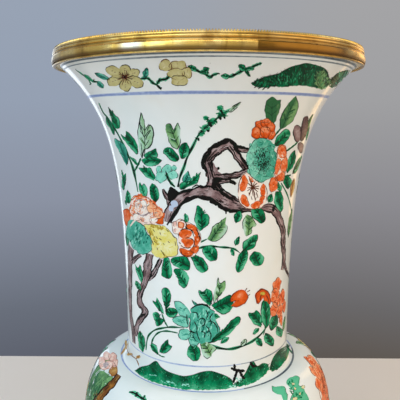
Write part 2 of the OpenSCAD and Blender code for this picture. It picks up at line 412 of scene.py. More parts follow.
milled = {"teeth": 410, "perTooth": 6, "tall": 0.0014, "wide": 0.0017, "cut": 0.0010}
wireLine = [(skirtRadius - milled["wide"] / 2 + milled["wide"] / 2 * cos(a), webTop + milled["tall"] * sin(a))
    for a in [pi * k / 8 for k in range(9)]]
milledWire = turned("milledWire", wireLine, around=milled["teeth"] * milled["perTooth"])
for corner in milledWire.data.vertices:  # each tooth is a ripple round the wire
    x, y, z = corner.co
    cut = milled["cut"] * (0.5 - 0.5 * cos(milled["teeth"] * atan2(y, x))) * min(1, (z - webTop) / 0.0003 + 0.4)
    slim = 1 - cut / hypot(x, y)
    corner.co = (x * slim, y * slim, max(webTop, z - cut))
dress(milledWire, giltMetal, "gilt_metal", "milled_edge")
for node, material in (("inner_rim_band", giltMetal), ("rim_bedding", beddingFinish("plasterBed"))):
    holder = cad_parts[node]
    holder.data.materials.clear()
    holder.data.materials.append(material)
print("collar made")

# Where a brush mark lands: a run up the outer line and an angle round it, from the front
underNeck = [footSpot(i / 60) for i in range(61)] + [lowerSpot(i / 160) for i in range(161)]
underNeck += [shoulderSpot(i / 160) for i in range(161)] + [rootSpot(i / 24) for i in range(1, 25)]
wareLine = np.array(underNeck + [neckSpot(i / 400) for i in range(401)])
wareRun = np.concatenate([[0.0], np.cumsum(np.linalg.norm(np.diff(wareLine, axis=0), axis=1))])
wareWay = np.gradient(wareLine, axis=0)
wareWay /= np.linalg.norm(wareWay, axis=1)[:, None]


def onWare(angle, run, lift):
    out = np.interp(run, wareRun, wareWay[:, 1]), -np.interp(run, wareRun, wareWay[:, 0])
    r = np.interp(run, wareRun, wareLine[:, 0]) + lift * out[0]
    z = np.interp(run, wareRun, wareLine[:, 1]) + lift * out[1]
    return np.stack([r * np.sin(angle), -r * np.cos(angle), z], -1)


def photoSpot(points):  # a pixel of the photograph, cast on to the ware
    points = np.asarray(points, float)
    focal = view["lens"] / view["sensor"] * view["pixels"]
    u, v = (points[:, 0] - view["pixels"] / 2) / focal, -(points[:, 1] - view["pixels"] / 2) / focal
    c, s = cos(-radians(view["down"])), sin(-radians(view["down"]))
    way = np.stack([u, c - s * v, s + c * v], 1)
    c, s = cos(radians(view["left"])), sin(radians(view["left"]))
    way = np.stack([c * way[:, 0] - s * way[:, 1], s * way[:, 0] + c * way[:, 1], way[:, 2]], 1)
    way /= np.linalg.norm(way, axis=1)[:, None]
    eye = np.array(view["eye"])

    def gap(far):
        spot = eye + far[..., None] * (way if far.ndim == 1 else way[:, None, :])
        return np.hypot(spot[..., 0], spot[..., 1]) - np.interp(spot[..., 2], wareLine[:, 1], wareLine[:, 0])

    near, past, tries = 0.25, 0.50, 200  # the ware lies between these two distances from the eye
    reach = np.broadcast_to(np.linspace(near, past, tries), (len(way), tries))
    gaps = gap(reach)
    hit = gaps < 0
    first = np.where(hit.any(1), hit.argmax(1), gaps.argmin(1))
    far = reach[np.arange(len(way)), first]
    low, high = far - (past - near) / (tries - 1), far.copy()
    for _ in range(16):
        middle = (low + high) / 2
        inside = gap(middle) < 0
        high, low = np.where(inside, middle, high), np.where(inside, low, middle)
    far = np.where(hit.any(1), high, far)
    spot = eye + far[:, None] * way
    return np.arctan2(spot[:, 0], -spot[:, 1]), np.interp(spot[:, 2], wareLine[:, 1], wareRun)


def photoCanvas(turn, hand):  # hand -1 mirrors the drawing
    def spot(points):
        angle, run = photoSpot(points)
        return hand * angle + turn, run
    return spot


def sheetCanvas(angle, top, hand=1):  # millimetres across and down from a level on the outer line
    def spot(points):
        points = np.asarray(points, float)
        run = top - points[:, 1] / 1000
        return angle + hand * points[:, 0] / 1000 / np.interp(run, wareRun, wareLine[:, 0]), run
    return spot


# Brush marks: every mark is collected by area and enamel, then made into one thin piece each
marks = {}
brush = {"area": "", "canvas": None, "first": 0.00008, "layer": 0.00003, "thick": 0.0003, "step": 1.5, "shake": 0.24}


def lay(colour, angle, run, faces, tones, layer):
    spots = onWare(angle, run, brush["first"] + layer * brush["layer"])
    a, b, c = (spots[[f[k] for f in faces]] for k in range(3))
    turn = 1 if np.einsum("ij,ij->", np.cross(b - a, c - a), a * [1, 1, 0]) > 0 else -1
    store = marks.setdefault((brush["area"], colour), {"spots": [], "faces": [], "tones": [], "count": 0})
    store["faces"] += [[int(i) + store["count"] for i in f[::turn]] for f in faces]
    store["spots"].append(spots)
    store["tones"].append(np.broadcast_to(np.asarray(tones, float), len(spots)))
    store["count"] += len(spots)


def gridFaces(rows, across, closed=False):
    return [(i * across + k, i * across + k + 1, (i + 1) % rows * across + k + 1, (i + 1) % rows * across + k)
        for i in range(rows if closed else rows - 1) for k in range(across - 1)]


def curve(points, closed=False, step=None):  # a smooth run through the points; a last True keeps a corner
    step = step or brush["step"]
    knots = []
    for p in points:
        sharp = p[-1] is True
        spot = [float(c) for c in (p[:-1] if sharp else p)]
        knots += [spot, spot] if sharp else [spot]
    knots = np.array(knots)
    count = len(knots)
    least = 1 if count > 2 else 2
    out = []
    for i in range(count if closed else count - 1):
        p1, p2 = knots[i], knots[(i + 1) % count]
        p0 = knots[(i - 1) % count] if closed else knots[max(i - 1, 0)]
        p3 = knots[(i + 2) % count] if closed else knots[min(i + 2, count - 1)]
        span = np.linalg.norm((p2 - p1)[:2])
        if span < 1e-6:
            continue
        pieces = max(least, ceil(span / step))
        for t in np.arange(pieces) / pieces:
            out.append(0.5 * (2 * p1 + (p2 - p0) * t + (2 * p0 - 5 * p1 + 4 * p2 - p3) * t ** 2
                + (3 * p1 - p0 - 3 * p2 + p3) * t ** 3))
    if not closed:
        out.append(knots[-1])
    return np.array(out)


def shaken(edge, amount):  # a hand is never quite steady
    off = np.array([dice.gauss(0, 1) for _ in edge])
    off = (off + np.roll(off, 1) + np.roll(off, -1)) * 0.6
    way = np.roll(edge, -1, 0) - np.roll(edge, 1, 0)
    way /= np.maximum(np.linalg.norm(way, axis=1), 1e-9)[:, None]
    return edge + np.stack([way[:, 1], -way[:, 0]], 1) * (off * amount)[:, None]


def line(points, width, layer, tone=0.0, colour="ink", ends=(0.35, 0.25), ready=False):
    path = np.asarray(points, float) if ready else curve(points)
    angle, run = brush["canvas"](path[:, :2])
    spots = onWare(angle, run, 0.0)
    side = np.cross(onWare(angle, run, 0.001) - spots, np.gradient(spots, axis=0))
    side /= np.maximum(np.linalg.norm(side, axis=1), 1e-12)[:, None]
    t = np.linspace(0, 1, len(path))
    wide = width * (1 + 0.26 * np.sin(8 * pi * t + roll(0, 6)))
    wide = wide * np.minimum(1, np.minimum(ends[0] + t * 4, ends[1] + (1 - t) * 4))
    half = side * (wide / 2000)[:, None]
    spots = np.stack([spots + half, spots - half], 1).reshape(-1, 3)
    lay(colour, np.arctan2(spots[:, 0], -spots[:, 1]), np.interp(spots[:, 2], wareLine[:, 1], wareRun),
        gridFaces(len(path), 2), tone, layer)


def lines(paths, width, layer, tone=0.0, colour="ink", ends=(0.35, 0.25)):  # a tuple is picked from for each stroke
    for path in paths:
        tones, colours = (pick(v) if isinstance(v, tuple) else v for v in (tone, colour))
        line(path, width, layer, tones, colours, ends)


def arcs(edge, width, layer, tone, share=0.85):  # an outline in two or three lifts of the brush
    count, start = len(edge), dice.randrange(len(edge))
    lifts = pick((2, 3))
    for k in range(lifts):
        first = start + k * count // lifts
        last = first + max(3, int(count / lifts * min(1.0, share * roll(0.85, 1.15))))
        line(edge[[i % count for i in range(first, last + 1)]], width * roll(0.75, 1.2), layer, tone, ready=True)


def fill(colour, outline, layer, tone=0.5, rim=None, border=0.3, borderTone=0.0, middle=None, shade=None, ready=False,
        shake=None, share=0.85):
    edge = np.asarray(outline, float) if ready else curve(outline, True)
    edge = shaken(edge, brush["shake"] if shake is None else shake)
    middle = np.array(middle if middle is not None else edge.mean(0))
    rings = (0.32, 0.64, 0.88, 1.0)
    spots = np.concatenate([[middle]] + [middle + (edge - middle) * r for r in rings])
    count = len(edge)
    faces = [(0, 1 + i, 1 + (i + 1) % count) for i in range(count)]
    for k in range(len(rings) - 1):
        faces += [(1 + k * count + i, 1 + (k + 1) * count + i, 1 + (k + 1) * count + (i + 1) % count,
            1 + k * count + (i + 1) % count) for i in range(count)]
    rim = tone if rim is None else rim
    tones = tone + (rim - tone) * np.concatenate([[0.0]] + [np.full(count, r ** 2) for r in rings])
    if shade is not None:
        tones = tones + shade(spots)
    lay(colour, *brush["canvas"](spots), faces, tones, layer)
    if border:
        arcs(edge, border, layer + 0.9, borderTone, share)
    return middle


def leafShape(base, tip, width, full=1.0, bend=0.0):  # an outline from its stalk, its point and its width
    base, tip = np.array(base, float), np.array(tip, float)
    way = tip - base
    long = np.linalg.norm(way)
    side = np.array([-way[1], way[0]]) / long
    left, right = [], []
    for t in (0.12, 0.3, 0.5, 0.7, 0.88):
        spine = base + way * t + side * bend * long * sin(pi * t)
        half = width / 2 * sin(pi * t ** full) ** 0.8
        left.append(spine + side * half * roll(0.9, 1.1))
        right.append(spine - side * half * roll(0.9, 1.1))
    return [(*base, True)] + left + [(*tip, True)] + right[::-1]


# How each kind of leaf is washed and drawn: tones at the middle, the rim and the rib; widths in millimetres
leafParts = ("colour", "tone", "rim", "core", "border", "inkTone", "rib", "veins", "dabs")
leafLooks = {
    "deep": ("green", 0.46, 0.28, 0.4, 0.42, 0.26, 0.8, 2, 7),
    "mid": ("green", 0.36, 0.12, 0.42, 0.38, 0.3, 0.66, 2, 7),
    "soft": ("green", 0.26, 0.04, 0.36, 0.3, 0.38, 0.45, 1, 3),
    "fresh": ("turquoise", 0.66, 0.42, 0.3, 0.4, 0.4, 0.55, 1, 4),
    "dusk": ("lime", 1.12, 1.0, 0.2, 0.34, 0.45, 0.4, 2, 4),
    "lime": ("lime", 0.5, 0.16, 0.42, 0.46, 0.18, 0.55, 2, 4),
    "pale": ("lime", 0.22, 0.04, 0.16, 0.6, 0.22, 0.65, 3, 1),
    "olive": ("lime", 0.74, 0.62, 0.22, 0.5, 0.2, 0.5, 2, 3),
    "ochre": ("ochre", 0.16, 0.3, 0.3, 0.36, 0.95, 0.45, 2, 3),
}


def leaf(kind, outline, layer=2.0):
    look = dict(zip(leafParts, leafLooks[kind]))
    if not isinstance(outline[2], tuple):
        outline = leafShape(*outline)
    edge = curve(outline, True)
    apart = np.linalg.norm(edge[:, None] - edge[None], axis=2)
    i, j = np.unravel_index(apart.argmax(), apart.shape)
    base, tip = (edge[i], edge[j]) if edge[i][1] > edge[j][1] else (edge[j], edge[i])
    long = apart.max()
    way = (tip - base) / long
    side = np.array([-way[1], way[0]])
    width = max(float(np.ptp((edge - base) @ side)), 1.0)
    centre = float(((edge - base) @ side).mean())
    lean, shift, end = pick((-1, 1)), roll(-0.08, 0.08), pick((0.1, 0.9, 0.9))

    def shade(p):  # dark along the rib and at one end, one side lighter
        off, t = ((p - base) @ side - centre) / width, (p - base) @ way / long
        return (look["core"] * np.exp(-(off / 0.18) ** 2) + 0.17 * lean * np.tanh(off * 5) + 0.34 * look["core"] / 0.46
            * np.exp(-((t - end) / 0.26) ** 2))
    fill(look["colour"], edge, layer, look["tone"] - 0.10 + shift, look["rim"] + shift, look["border"], look["inkTone"],
        shade=shade, ready=True, share=0.72)
    spine = lambda t: base + way * long * t + side * (centre + width * 0.05 * lean * sin(3 * t))
    wide = min(1.0, 0.35 + width / 14)
    for _ in range(look["dabs"]):  # pooled strokes of the same enamel
        t, hand = roll(0.16, 0.78), pick((-1, 1))
        tone = look["tone"] + (0.50 if dice.random() < 0.84 else -0.34)
        line([spine(t), spine(t + 0.08) + side * hand * width * 0.17,
            spine(t + 0.16) + side * hand * width * roll(0.24, 0.36)], roll(0.6, 1.2) * wide, layer + 0.4, tone,
            look["colour"], (0.8, 0.15))
    line([spine(t) for t in (0.04, 0.32, 0.6, roll(0.78, 0.92))], look["rib"] * 0.76 * wide, layer + 0.9,
        look["inkTone"], ends=(0.8, 0.12))
    for k in range(look["veins"]):
        for hand in (-1, 1):
            t = 0.22 + 0.5 * (k + roll(0.2, 0.6)) / look["veins"]
            line([spine(t), spine(t + 0.09) + side * hand * width * 0.17,
                spine(t + 0.15) + side * hand * width * roll(0.26, 0.36)], look["rib"] * 0.75 * wide, layer + 0.8,
                *((look["inkTone"], "ink") if look["colour"] == "lime" else (1.2, look["colour"])), (0.9, 0.15))


def ellipse(x, y, rx, ry, turn=0.0, wave=0.0, bumps=5):
    out, start = [], roll(0, 6)
    for k in range(20):
        a = 2 * pi * k / 20
        r = 1 + wave * sin(bumps * a + start)
        px, py = rx * r * cos(a), ry * r * sin(a)
        out.append((x + px * cos(turn) - py * sin(turn), y + px * sin(turn) + py * cos(turn)))
    return out


def petal(x, y, rx, ry, colour, layer, tone=0.6, rim=0.4, turn=0.0, border=0.3, borderTone=1.0, wave=0.07, streaks=0):
    middle = fill(colour, ellipse(x, y, rx, ry, turn, wave, pick((3, 4, 5))), layer, tone, rim, border, borderTone,
        share=0.75)
    for _ in range(streaks):  # a darker or lighter stroke inside it
        a = roll(0, 6.28)
        start, end = (middle + [rx * f * cos(a), ry * f * sin(a)] for f in (0.1, roll(0.6, 0.85)))
        line([start, (start + end) / 2 + [0.3, 0.2], end], roll(0.35, 0.7), layer + 0.5, tone + pick((0.4, 0.35, -0.5)),
            colour)


def polar(edge, middle):  # how far the outline is from its middle, at any angle
    off = edge - middle
    angle, far = np.arctan2(off[:, 1], off[:, 0]), np.hypot(off[:, 0], off[:, 1])
    order = angle.argsort()
    angle, far = angle[order], far[order]
    return lambda a: float(np.interp((a + pi) % (2 * pi) - pi,
        np.concatenate([[angle[-1] - 2 * pi], angle, [angle[0] + 2 * pi]]), np.concatenate([[far[-1]], far, [far[0]]])))


def pompon(outline, middle, colour, layer, dark, petals=13, tone=0.44, rim=0.16, rings=(0.80, 0.58, 0.38)):
    edge = curve(outline, True)
    middle = np.array(middle, float)
    reach = polar(edge, middle)
    at = lambda a, f: middle + reach(a) * f * np.array([cos(a), sin(a)])
    frill = np.array([at(a, 0.90 + 0.09 * abs(sin(petals / 2 * a)) + roll(-0.015, 0.015))
        for a in np.arange(96) * 2 * pi / 96])
    fill(colour, frill, layer, tone + 0.18, rim + 0.1, 0.34, dark, middle=middle, ready=True, shake=0.1, share=0.8)
    for depth, part in enumerate(rings):  # rows of petals, paler at their edges, darker towards the heart
        around = max(7, int(petals * (1 - 0.22 * depth)))
        for k in range(around):
            a = 2 * pi * (k + 0.5 * (depth % 2) + roll(-0.22, 0.22)) / around
            wide, far = pi / around * roll(0.75, 1.05), part * roll(0.92, 1.10)
            shape = [at(a - wide * 0.6, far - 0.16), at(a - wide, far + 0.02), at(a, far + 0.15),
                at(a + wide, far + 0.02), at(a + wide * 0.6, far - 0.16)]
            deep = tone + 0.16 * depth + roll(-0.16, 0.16)
            fill(colour, shape, layer + 0.35 + 0.15 * depth, deep, deep - 0.34, 0.26 if dice.random() < 0.8 else 0,
                dark, share=0.55)
            for _ in range(2):  # short dashes down each petal
                b, low = a + roll(-0.5, 0.5) * wide, far + roll(-0.12, 0.02)
                line([at(b, low), at(b, low + roll(0.05, 0.10))], roll(0.24, 0.42), layer + 1.4, dark - 0.1)
    for _ in range(26):  # the dark, feathery heart
        a, far = roll(0, 6.28), roll(0.03, 0.30)
        line([at(a, far), at(a + 0.1, far + roll(0.06, 0.13))], roll(0.26, 0.5), layer + 1.7, pick((0.0, dark)))


def stamens(x, y, rx, ry, count, layer, tone=1.0, width=0.36, heart=0.15):
    for k in range(count):
        a = 2 * pi * (k + roll(-0.3, 0.3)) / count
        far = roll(0.65, 1.0)
        line([(x + rx * heart * cos(a), y + ry * heart * sin(a)), (x + rx * far * cos(a), y + ry * far * sin(a))],
            width, layer, tone, ends=(1, 0.5))


def dabs(path, colour, layer, size=(1.6, 2.6), long=(1.6, 3.0), tone=(0.35, 0.75), spread=0.6, across=0.5, gap=1.1):
    spine = curve(path, step=gap)  # short, overlapping touches along a path
    way = np.gradient(spine[:, :2], axis=0)
    way /= np.maximum(np.linalg.norm(way, axis=1), 1e-9)[:, None]
    for p, w in zip(spine[:, :2], way):
        a = atan2(w[1], w[0]) + roll(-spread, spread)
        reach = np.array([cos(a), sin(a)]) * roll(*long) / 2
        p = p + np.array([-w[1], w[0]]) * roll(-across, across)
        line([p - reach, p + reach * 0.2 + [0.15, -0.15], p + reach], roll(*size), layer + roll(0, 0.5), roll(*tone),
            colour, (0.45, 0.4))


def scatter(x, y, rx, ry, low, high, power=1):  # a random place in an ellipse: angle, how far out, spot
    a, f = roll(0, 6.28), roll(low, high) ** power
    return a, f, x + rx * f * cos(a), y + ry * f * sin(a)


def curls(x, y, rx, ry, count, layer, tone=0.9, width=0.3, colour="ink"):
    for _ in range(count):  # little turned-over petals inside a peony
        _, _, cx, cy = scatter(x, y, rx, ry, 0.05, 0.72)
        r, start = roll(0.16, 0.30), roll(0, 6.28)
        line([(cx + rx * r * cos(start + t), cy + ry * r * sin(start + t)) for t in (0, 0.9, 1.8, 2.8)], width, layer,
            tone, colour)


def limb(path, colour="aubergine", layer=0.0, tone=0.42, edges=(0.9, 0.7), trim=(0.0, 1.0), bark=1.0):
    spine = curve(path)
    way = np.gradient(spine[:, :2], axis=0)
    way /= np.linalg.norm(way, axis=1)[:, None]
    side = np.stack([-way[:, 1], way[:, 0]], 1)
    wob = 1 + 0.09 * np.sin(np.arange(len(spine)) * 0.9 + roll(0, 6))
    wob = wob + 0.05 * np.array([dice.gauss(0, 1) for _ in spine])
    half = (spine[:, 2] / 2 * wob)[:, None]
    across = np.linspace(-1, 1, 6)
    rows = spine[:, None, :2] + side[:, None] * half[:, None] * across[None, :, None]
    tones = tone + 0.24 * np.abs(across)[None] ** 2 + 0.16 * np.sin(np.arange(len(spine)) * 0.55)[:, None]
    lay(colour, *brush["canvas"](rows.reshape(-1, 2)), gridFaces(len(spine), 6),
        np.broadcast_to(tones, (len(spine), 6)).reshape(-1), layer)
    first, last = int(trim[0] * len(spine)), max(int(trim[1] * len(spine)), 3)
    for hand, width in ((0, edges[0]), (5, edges[1])):
        if width:
            line(rows[first:last, hand], width, layer + 1.0, 0.0, ends=(0.5, 0.5), ready=True)
    for _ in range(int(bark * len(spine) / 2.0)):  # bark strokes along the limb
        i = dice.randrange(0, max(1, len(spine) - 4))
        j = min(len(spine) - 1, i + dice.randrange(3, 7))
        off = roll(-0.72, 0.72)
        if j - i >= 2:
            line(spine[i:j + 1, :2] + side[i:j + 1] * half[i:j + 1] * off, roll(0.22, 0.5), layer + 0.6,
                pick((0.95, 1.1, -0.1)), colour, ready=True)
            if dice.random() < 0.5:
                line(spine[i:j + 1, :2] + side[i:j + 1] * half[i:j + 1] * (off + 0.15), roll(0.25, 0.6), layer + 0.7,
                    0.0, ready=True)


def mound(top, bottom, layer=0.0, tone=0.66, hairs=90, hem=0.3, colour="green", long=(2.0, 4.2), fan=1.6,
        pale=(-0.1, 0.2)):
    up, low = curve(top), curve(bottom)
    count = max(len(up), len(low))
    even = lambda c: np.stack([np.interp(np.linspace(0, 1, count), np.linspace(0, 1, len(c)), c[:, k])
        for k in (0, 1)], 1)
    up, low = even(up), even(low)
    low = low + np.array([[0, roll(-0.7, 0.5)] for _ in range(count)])
    part = np.linspace(0, 1, 7)
    rows = up[:, None] + (low - up)[:, None] * part[None, :, None]
    tones = tone + 0.14 * np.sin(np.arange(count) * 0.5)[:, None] + 0.12 - hem * 1.6 * part[None] ** 2.2
    lay(colour, *brush["canvas"](rows.reshape(-1, 2)), gridFaces(count, 7),
        np.broadcast_to(tones, (count, 7)).reshape(-1), layer)
    for _ in range(hairs):  # mossy strokes that fan up from the foot of the mound
        i, t = dice.randrange(count), roll(0.02, 0.98)
        start = up[i] + (low[i] - up[i]) * t
        lean = (i / count - 0.5) * fan + roll(-0.35, 0.35)
        reach = roll(*long) * (0.55 if t < 0.15 else 1.0)
        end = start + np.array([sin(lean), -cos(lean) * 0.9]) * reach
        light = dice.random() < 0.22 + 0.25 * t
        line([start, (start + end) / 2 + [0.2, 0], end], roll(0.26, 0.5), layer + 0.9, roll(*pale) if light
            else roll(0.15, 0.5), colour if light else "ink", (1, 0.2))
    arcs(np.concatenate([up, up[::-1]]), 0.36, layer + 1.0, 0.4, 0.6)


def band(run, tall, tone=0.5, colour="blue", layer=0.0, waver=0.00012, sweep=None):
    count, across = (80 if sweep else 240), 5
    angle = np.linspace(*sweep, count) if sweep else np.linspace(0, 2 * pi, count, endpoint=False)
    rows = [run + tall * (k / 4 - 0.5) + waver * np.sin(angle * (5 + k % 2) + k * 0.6) for k in range(across)]
    tones = [tone + 0.14 * np.sin(angle * 7 + k) - 0.42 * abs(k - 2) / 2 for k in range(across)]
    lay(colour, np.repeat(angle, across), np.stack(rows, 1).reshape(-1), gridFaces(count, across, not sweep),
        np.stack(tones, 1).reshape(-1), layer)


print("brushes ready")

# What the neck shows, in pixels of the photograph. Leaves: look, then an outline, or stalk, point and width
clusterFern = ("mid", [(266, 328, True), (262, 320), (261, 309), (264, 298, True), (268, 304), (270, 312), (269, 321)])
clusterDark = ("deep", ((271, 330), (276, 315), 8.0))
neckLeaves = [
    ("deep", [(108, 107, True), (112, 111), (116, 116), (118, 117), (120, 122), (120, 127), (118, 129), (115, 128),
      (113, 123), (111, 116)]),
    ("deep", [(106, 117, True), (110, 120), (113, 127), (115, 134), (114, 135), (110, 129), (107, 124)]),
    ("fresh", [(115, 139), (118, 140), (122, 143), (126, 148), (127, 155), (128, 162), (127, 166, True), (124, 161),
      (120, 152), (116, 145)]),
    ("deep", [(121, 134, True), (125, 137), (126, 131, True), (131, 135), (135, 140), (138, 146), (138, 153),
      (137, 154), (132, 149), (129, 146), (126, 142), (123, 138)]),
    ("pale", [(141, 113, True), (143, 118), (145, 124), (146, 128, True), (150, 125), (152, 128), (154, 134),
      (153, 138), (152, 143), (149, 148), (144, 150), (142, 158, True), (140, 152), (139, 146), (138, 138), (138, 132),
      (139, 124)]),
    ("mid", [(144, 155), (146, 153), (150, 151), (156, 149, True), (157, 157), (151, 158), (146, 158)]),
    ("mid", [(142, 160, True), (145, 158), (151, 157), (157, 158), (162, 160, True), (158, 164), (151, 166), (146, 165),
      (143, 162)]),
    ("mid", [(139, 168, True), (145, 168), (150, 168), (153, 172), (155, 176), (154, 181, True), (150, 179), (146, 177),
      (143, 173)]),
    ("soft", [(130, 156, True), (134, 158), (137, 162), (138, 165), (135, 164), (132, 160)]),
    ("lime", [(177, 149, True), (171, 145), (168, 138), (166, 131), (166, 125), (170, 124), (173, 128), (174, 130),
      (175, 127), (178, 123, True), (180, 128), (180, 137), (180, 145)]),
    ("deep", [(163, 152), (167, 147), (172, 149), (176, 153), (179, 159), (175, 162), (170, 159), (166, 155)]),
    ("deep", [(180, 147), (183, 143), (187, 143), (189, 148), (189, 153), (184, 158), (181, 158), (179, 152)]),
    ("soft", [(139, 188), (140, 182, True), (142, 186), (144, 184, True), (147, 188), (147, 195), (142, 196)]),
    ("deep", [(152, 183, True), (156, 186), (159, 192), (159, 197), (156, 202), (152, 199), (150, 194), (150, 187)]),
    ("deep", [(122, 170, True), (123, 175), (126, 173, True), (126, 181), (124, 190, True), (122, 187), (122, 179)]),
    ("mid", [(128, 190, True), (131, 196), (131, 201), (129, 203), (126, 201), (126, 196)]),
    ("mid", [(180, 189), (181, 183), (189, 180), (195, 176), (201, 172, True), (199, 178), (197, 183), (190, 186),
      (184, 189)]),
    ("fresh", [(188, 171, True), (190, 175), (191, 180), (183, 182), (184, 176)]),
    ("dusk", [(270, 124), (266, 117), (265, 109), (267, 101), (272, 97), (277, 100), (281, 100), (280, 108), (277, 117),
      (274, 123)]),
    ("olive", [(280, 130, True), (280, 120), (284, 110), (290, 102), (296, 96, True), (298, 104), (296, 114),
      (291, 122), (285, 127)]),
    ("deep", [(274, 145, True), (276, 138), (281, 133), (286, 129), (290, 132), (288, 139), (283, 144), (277, 146)]),
    ("deep", ((287, 173), (295, 150), 7.0)), ("deep", ((287, 175), (288, 189), 8.0)),
    ("soft", ((278, 182), (280, 192), 5.0)),
    ("mid", [(276, 192, True), (281, 192), (283, 199), (283, 206), (281, 212, True), (277, 208), (274, 201)]),
    ("deep", ((272, 194), (268, 203), 5.0)),
    ("deep", [(200, 231, True), (196, 226), (195, 217), (197, 208), (198, 206), (202, 209), (204, 213), (207, 214),
      (209, 218), (209, 223), (205, 227)]),
    ("soft", ((187, 223), (185, 213), 4.6)),
    ("lime", [(207, 239, True), (210, 235), (213, 227), (219, 222), (226, 217, True), (225, 224), (227, 226),
      (226, 232), (222, 237), (216, 241), (210, 241)]),
    ("mid", [(202, 250), (206, 246), (213, 247), (217, 252), (216, 260), (210, 261), (205, 256)]),
    ("deep", [(190, 254, True), (196, 255), (203, 259), (207, 265), (207, 270), (203, 273), (198, 270), (194, 264)]),
    ("deep", [(171, 260), (176, 257), (186, 257), (190, 265), (188, 270), (181, 269), (174, 265)]),
    ("deep", [(164, 258), (169, 258), (171, 266), (172, 273), (170, 278), (166, 278), (162, 276), (162, 269),
      (163, 262)]),
    ("mid", [(174, 269), (180, 269), (186, 272), (189, 277), (188, 282), (185, 288), (180, 286), (178, 280),
      (176, 275)]),
    ("deep", ((243, 251), (257, 235), 10.5)),
    ("deep", [(246, 250), (248, 255), (246, 263), (242, 270), (238, 272), (236, 268), (237, 260), (240, 253)]),
    ("deep", [(250, 257), (254, 252), (260, 253), (264, 258), (262, 264), (256, 266), (251, 262)]),
    ("mid", ((235, 246), (239, 237), 5.6)), ("soft", ((231, 249), (234, 256), 4.0)),
    ("lime", [(247, 214, True), (252, 218), (256, 225), (252, 228), (251, 233), (246, 236, True), (243, 229),
      (243, 221)]),
    ("mid", ((240, 211), (236, 223), 7.4)),
    ("deep", [(252, 208), (257, 207), (263, 210), (265, 217), (263, 223), (257, 221), (252, 215)]),
    ("mid", [(142, 283, True), (138, 276), (135, 264, True), (138, 268), (140, 265, True), (143, 275)]),
    ("mid", ((141, 291), (136, 281), 4.6)),
    ("deep", [(162, 292), (164, 288), (168, 289), (171, 294), (171, 300), (168, 306), (166, 312, True), (165, 305),
      (163, 300)]),
    ("mid", [(153, 301, True), (156, 303), (157, 298, True), (161, 304), (163, 310), (164, 314, True), (159, 310),
      (155, 305)]),
    ("deep", [(166, 313), (169, 308), (175, 309), (178, 313), (173, 317), (168, 316)]),
    ("mid", [(153, 314), (156, 312), (159, 314), (160, 319), (164, 319), (162, 324), (157, 326), (155, 321)]),
    ("deep", [(199, 291, True), (203, 292), (206, 288, True), (210, 290), (212, 293), (212, 300), (210, 306, True),
      (205, 302), (200, 296)]),
    ("lime", [(214, 304, True), (214, 294), (216, 286), (218, 278, True), (220, 283), (222, 283), (225, 281, True),
      (226, 286), (224, 291), (219, 296)]),
    ("deep", [(211, 305, True), (219, 301), (225, 297), (231, 295), (233, 301), (233, 307), (229, 311), (223, 314),
      (216, 310)]),
    ("soft", [(212, 314), (217, 314), (220, 317, True), (214, 319)]),
    ("fresh", [(192, 300, True), (195, 302), (198, 305), (195, 306)]),
    ("deep", [(208, 343, True), (214, 336), (222, 330), (230, 322), (236, 317), (240, 317), (240, 322), (234, 329),
      (227, 336), (217, 341)]),
    ("soft", ((221, 343), (229, 337), 4.4)),
    ("deep", [(261, 327, True), (254, 324), (250, 318), (249, 313, True), (253, 313), (256, 310, True), (260, 314),
      (262, 321)]),
    clusterFern, clusterDark, ("mid", ((277, 326), (281, 337), 6.6)), ("pale", ((241, 346), (246, 339), 4.6)),
    ("mid", ((256, 338), (262, 346), 6.4)), ("deep", ((265, 333), (273, 346), 9.0)),
    ("soft", ((253, 334), (259, 328), 4.0)),
    ("deep", [(190, 345), (196, 345), (200, 350), (200, 357), (196, 361), (190, 359), (187, 353)]),
    ("lime", [(201, 343), (208, 343), (216, 348), (213, 352), (211, 357), (207, 359, True), (203, 354), (201, 348)]),
    ("mid", ((143, 352), (140, 331), 6.6)), ("mid", ((158, 354), (151, 343), 5.6)),
    ("deep", [(159, 352, True), (162, 345), (168, 339, True), (169, 344), (172, 346, True), (169, 351), (164, 353)]),
]
# path, width in millimetres, tone of the ink
neckTwigs = {
    "leftStem": ([(99, 103), (103, 112), (108, 118), (113, 126), (118, 134), (124, 146), (129, 157), (133, 168),
      (136, 181), (138, 192)], 1.5, 0.12),
    "leftBranch": ([(134, 172), (138, 165), (141, 158)], 0.9, 0.1),
    "budStalk": ([(166, 172), (168, 178), (171, 183), (175, 187)], 1.1, 0.1),
    "upTwig": ([(271, 140), (276, 134), (281, 128)], 0.9, 0.1),
    "sepalTwig": ([(285, 152), (292, 147), (298, 142)], 0.9, 0.3),
    "sideTwig": ([(281, 183), (286, 192), (289, 200), (291, 209), (292, 221)], 0.7, 0.4),
    "rightTwig": ([(279, 177), (286, 176), (291, 175)], 0.8, 0.4),
    "paleStalk": ([(199, 243), (203, 241), (207, 239)], 0.6, 0.1),
    "longTwig": ([(197, 249), (203, 247), (209, 246), (220, 247), (231, 248), (236, 250), (240, 253)], 0.8, 0.1),
    "bottomTwig": ([(203, 342), (210, 345), (219, 348), (230, 349), (242, 346), (251, 342), (259, 336), (265, 329),
      (267, 322)], 1.1, 0.1),
    "doubleStem": ([(146, 350), (147, 341), (149, 335), (155, 330), (163, 328), (172, 327), (184, 328)], 0.8, 0.1),
    "doubleStem2": ([(151, 347), (153, 339), (158, 333), (166, 331), (178, 333)], 0.7, 0.35),
    "fernRib": ([(264, 298), (265, 312), (265, 328), (263, 335)], 0.7, 0.1),
    "rootTwigEnd": ([(157, 353), (161, 356), (165, 357)], 0.5, 0.3),
    "smallTwin": ([(162, 314), (165, 322), (168, 327)], 0.7, 0.4),
}
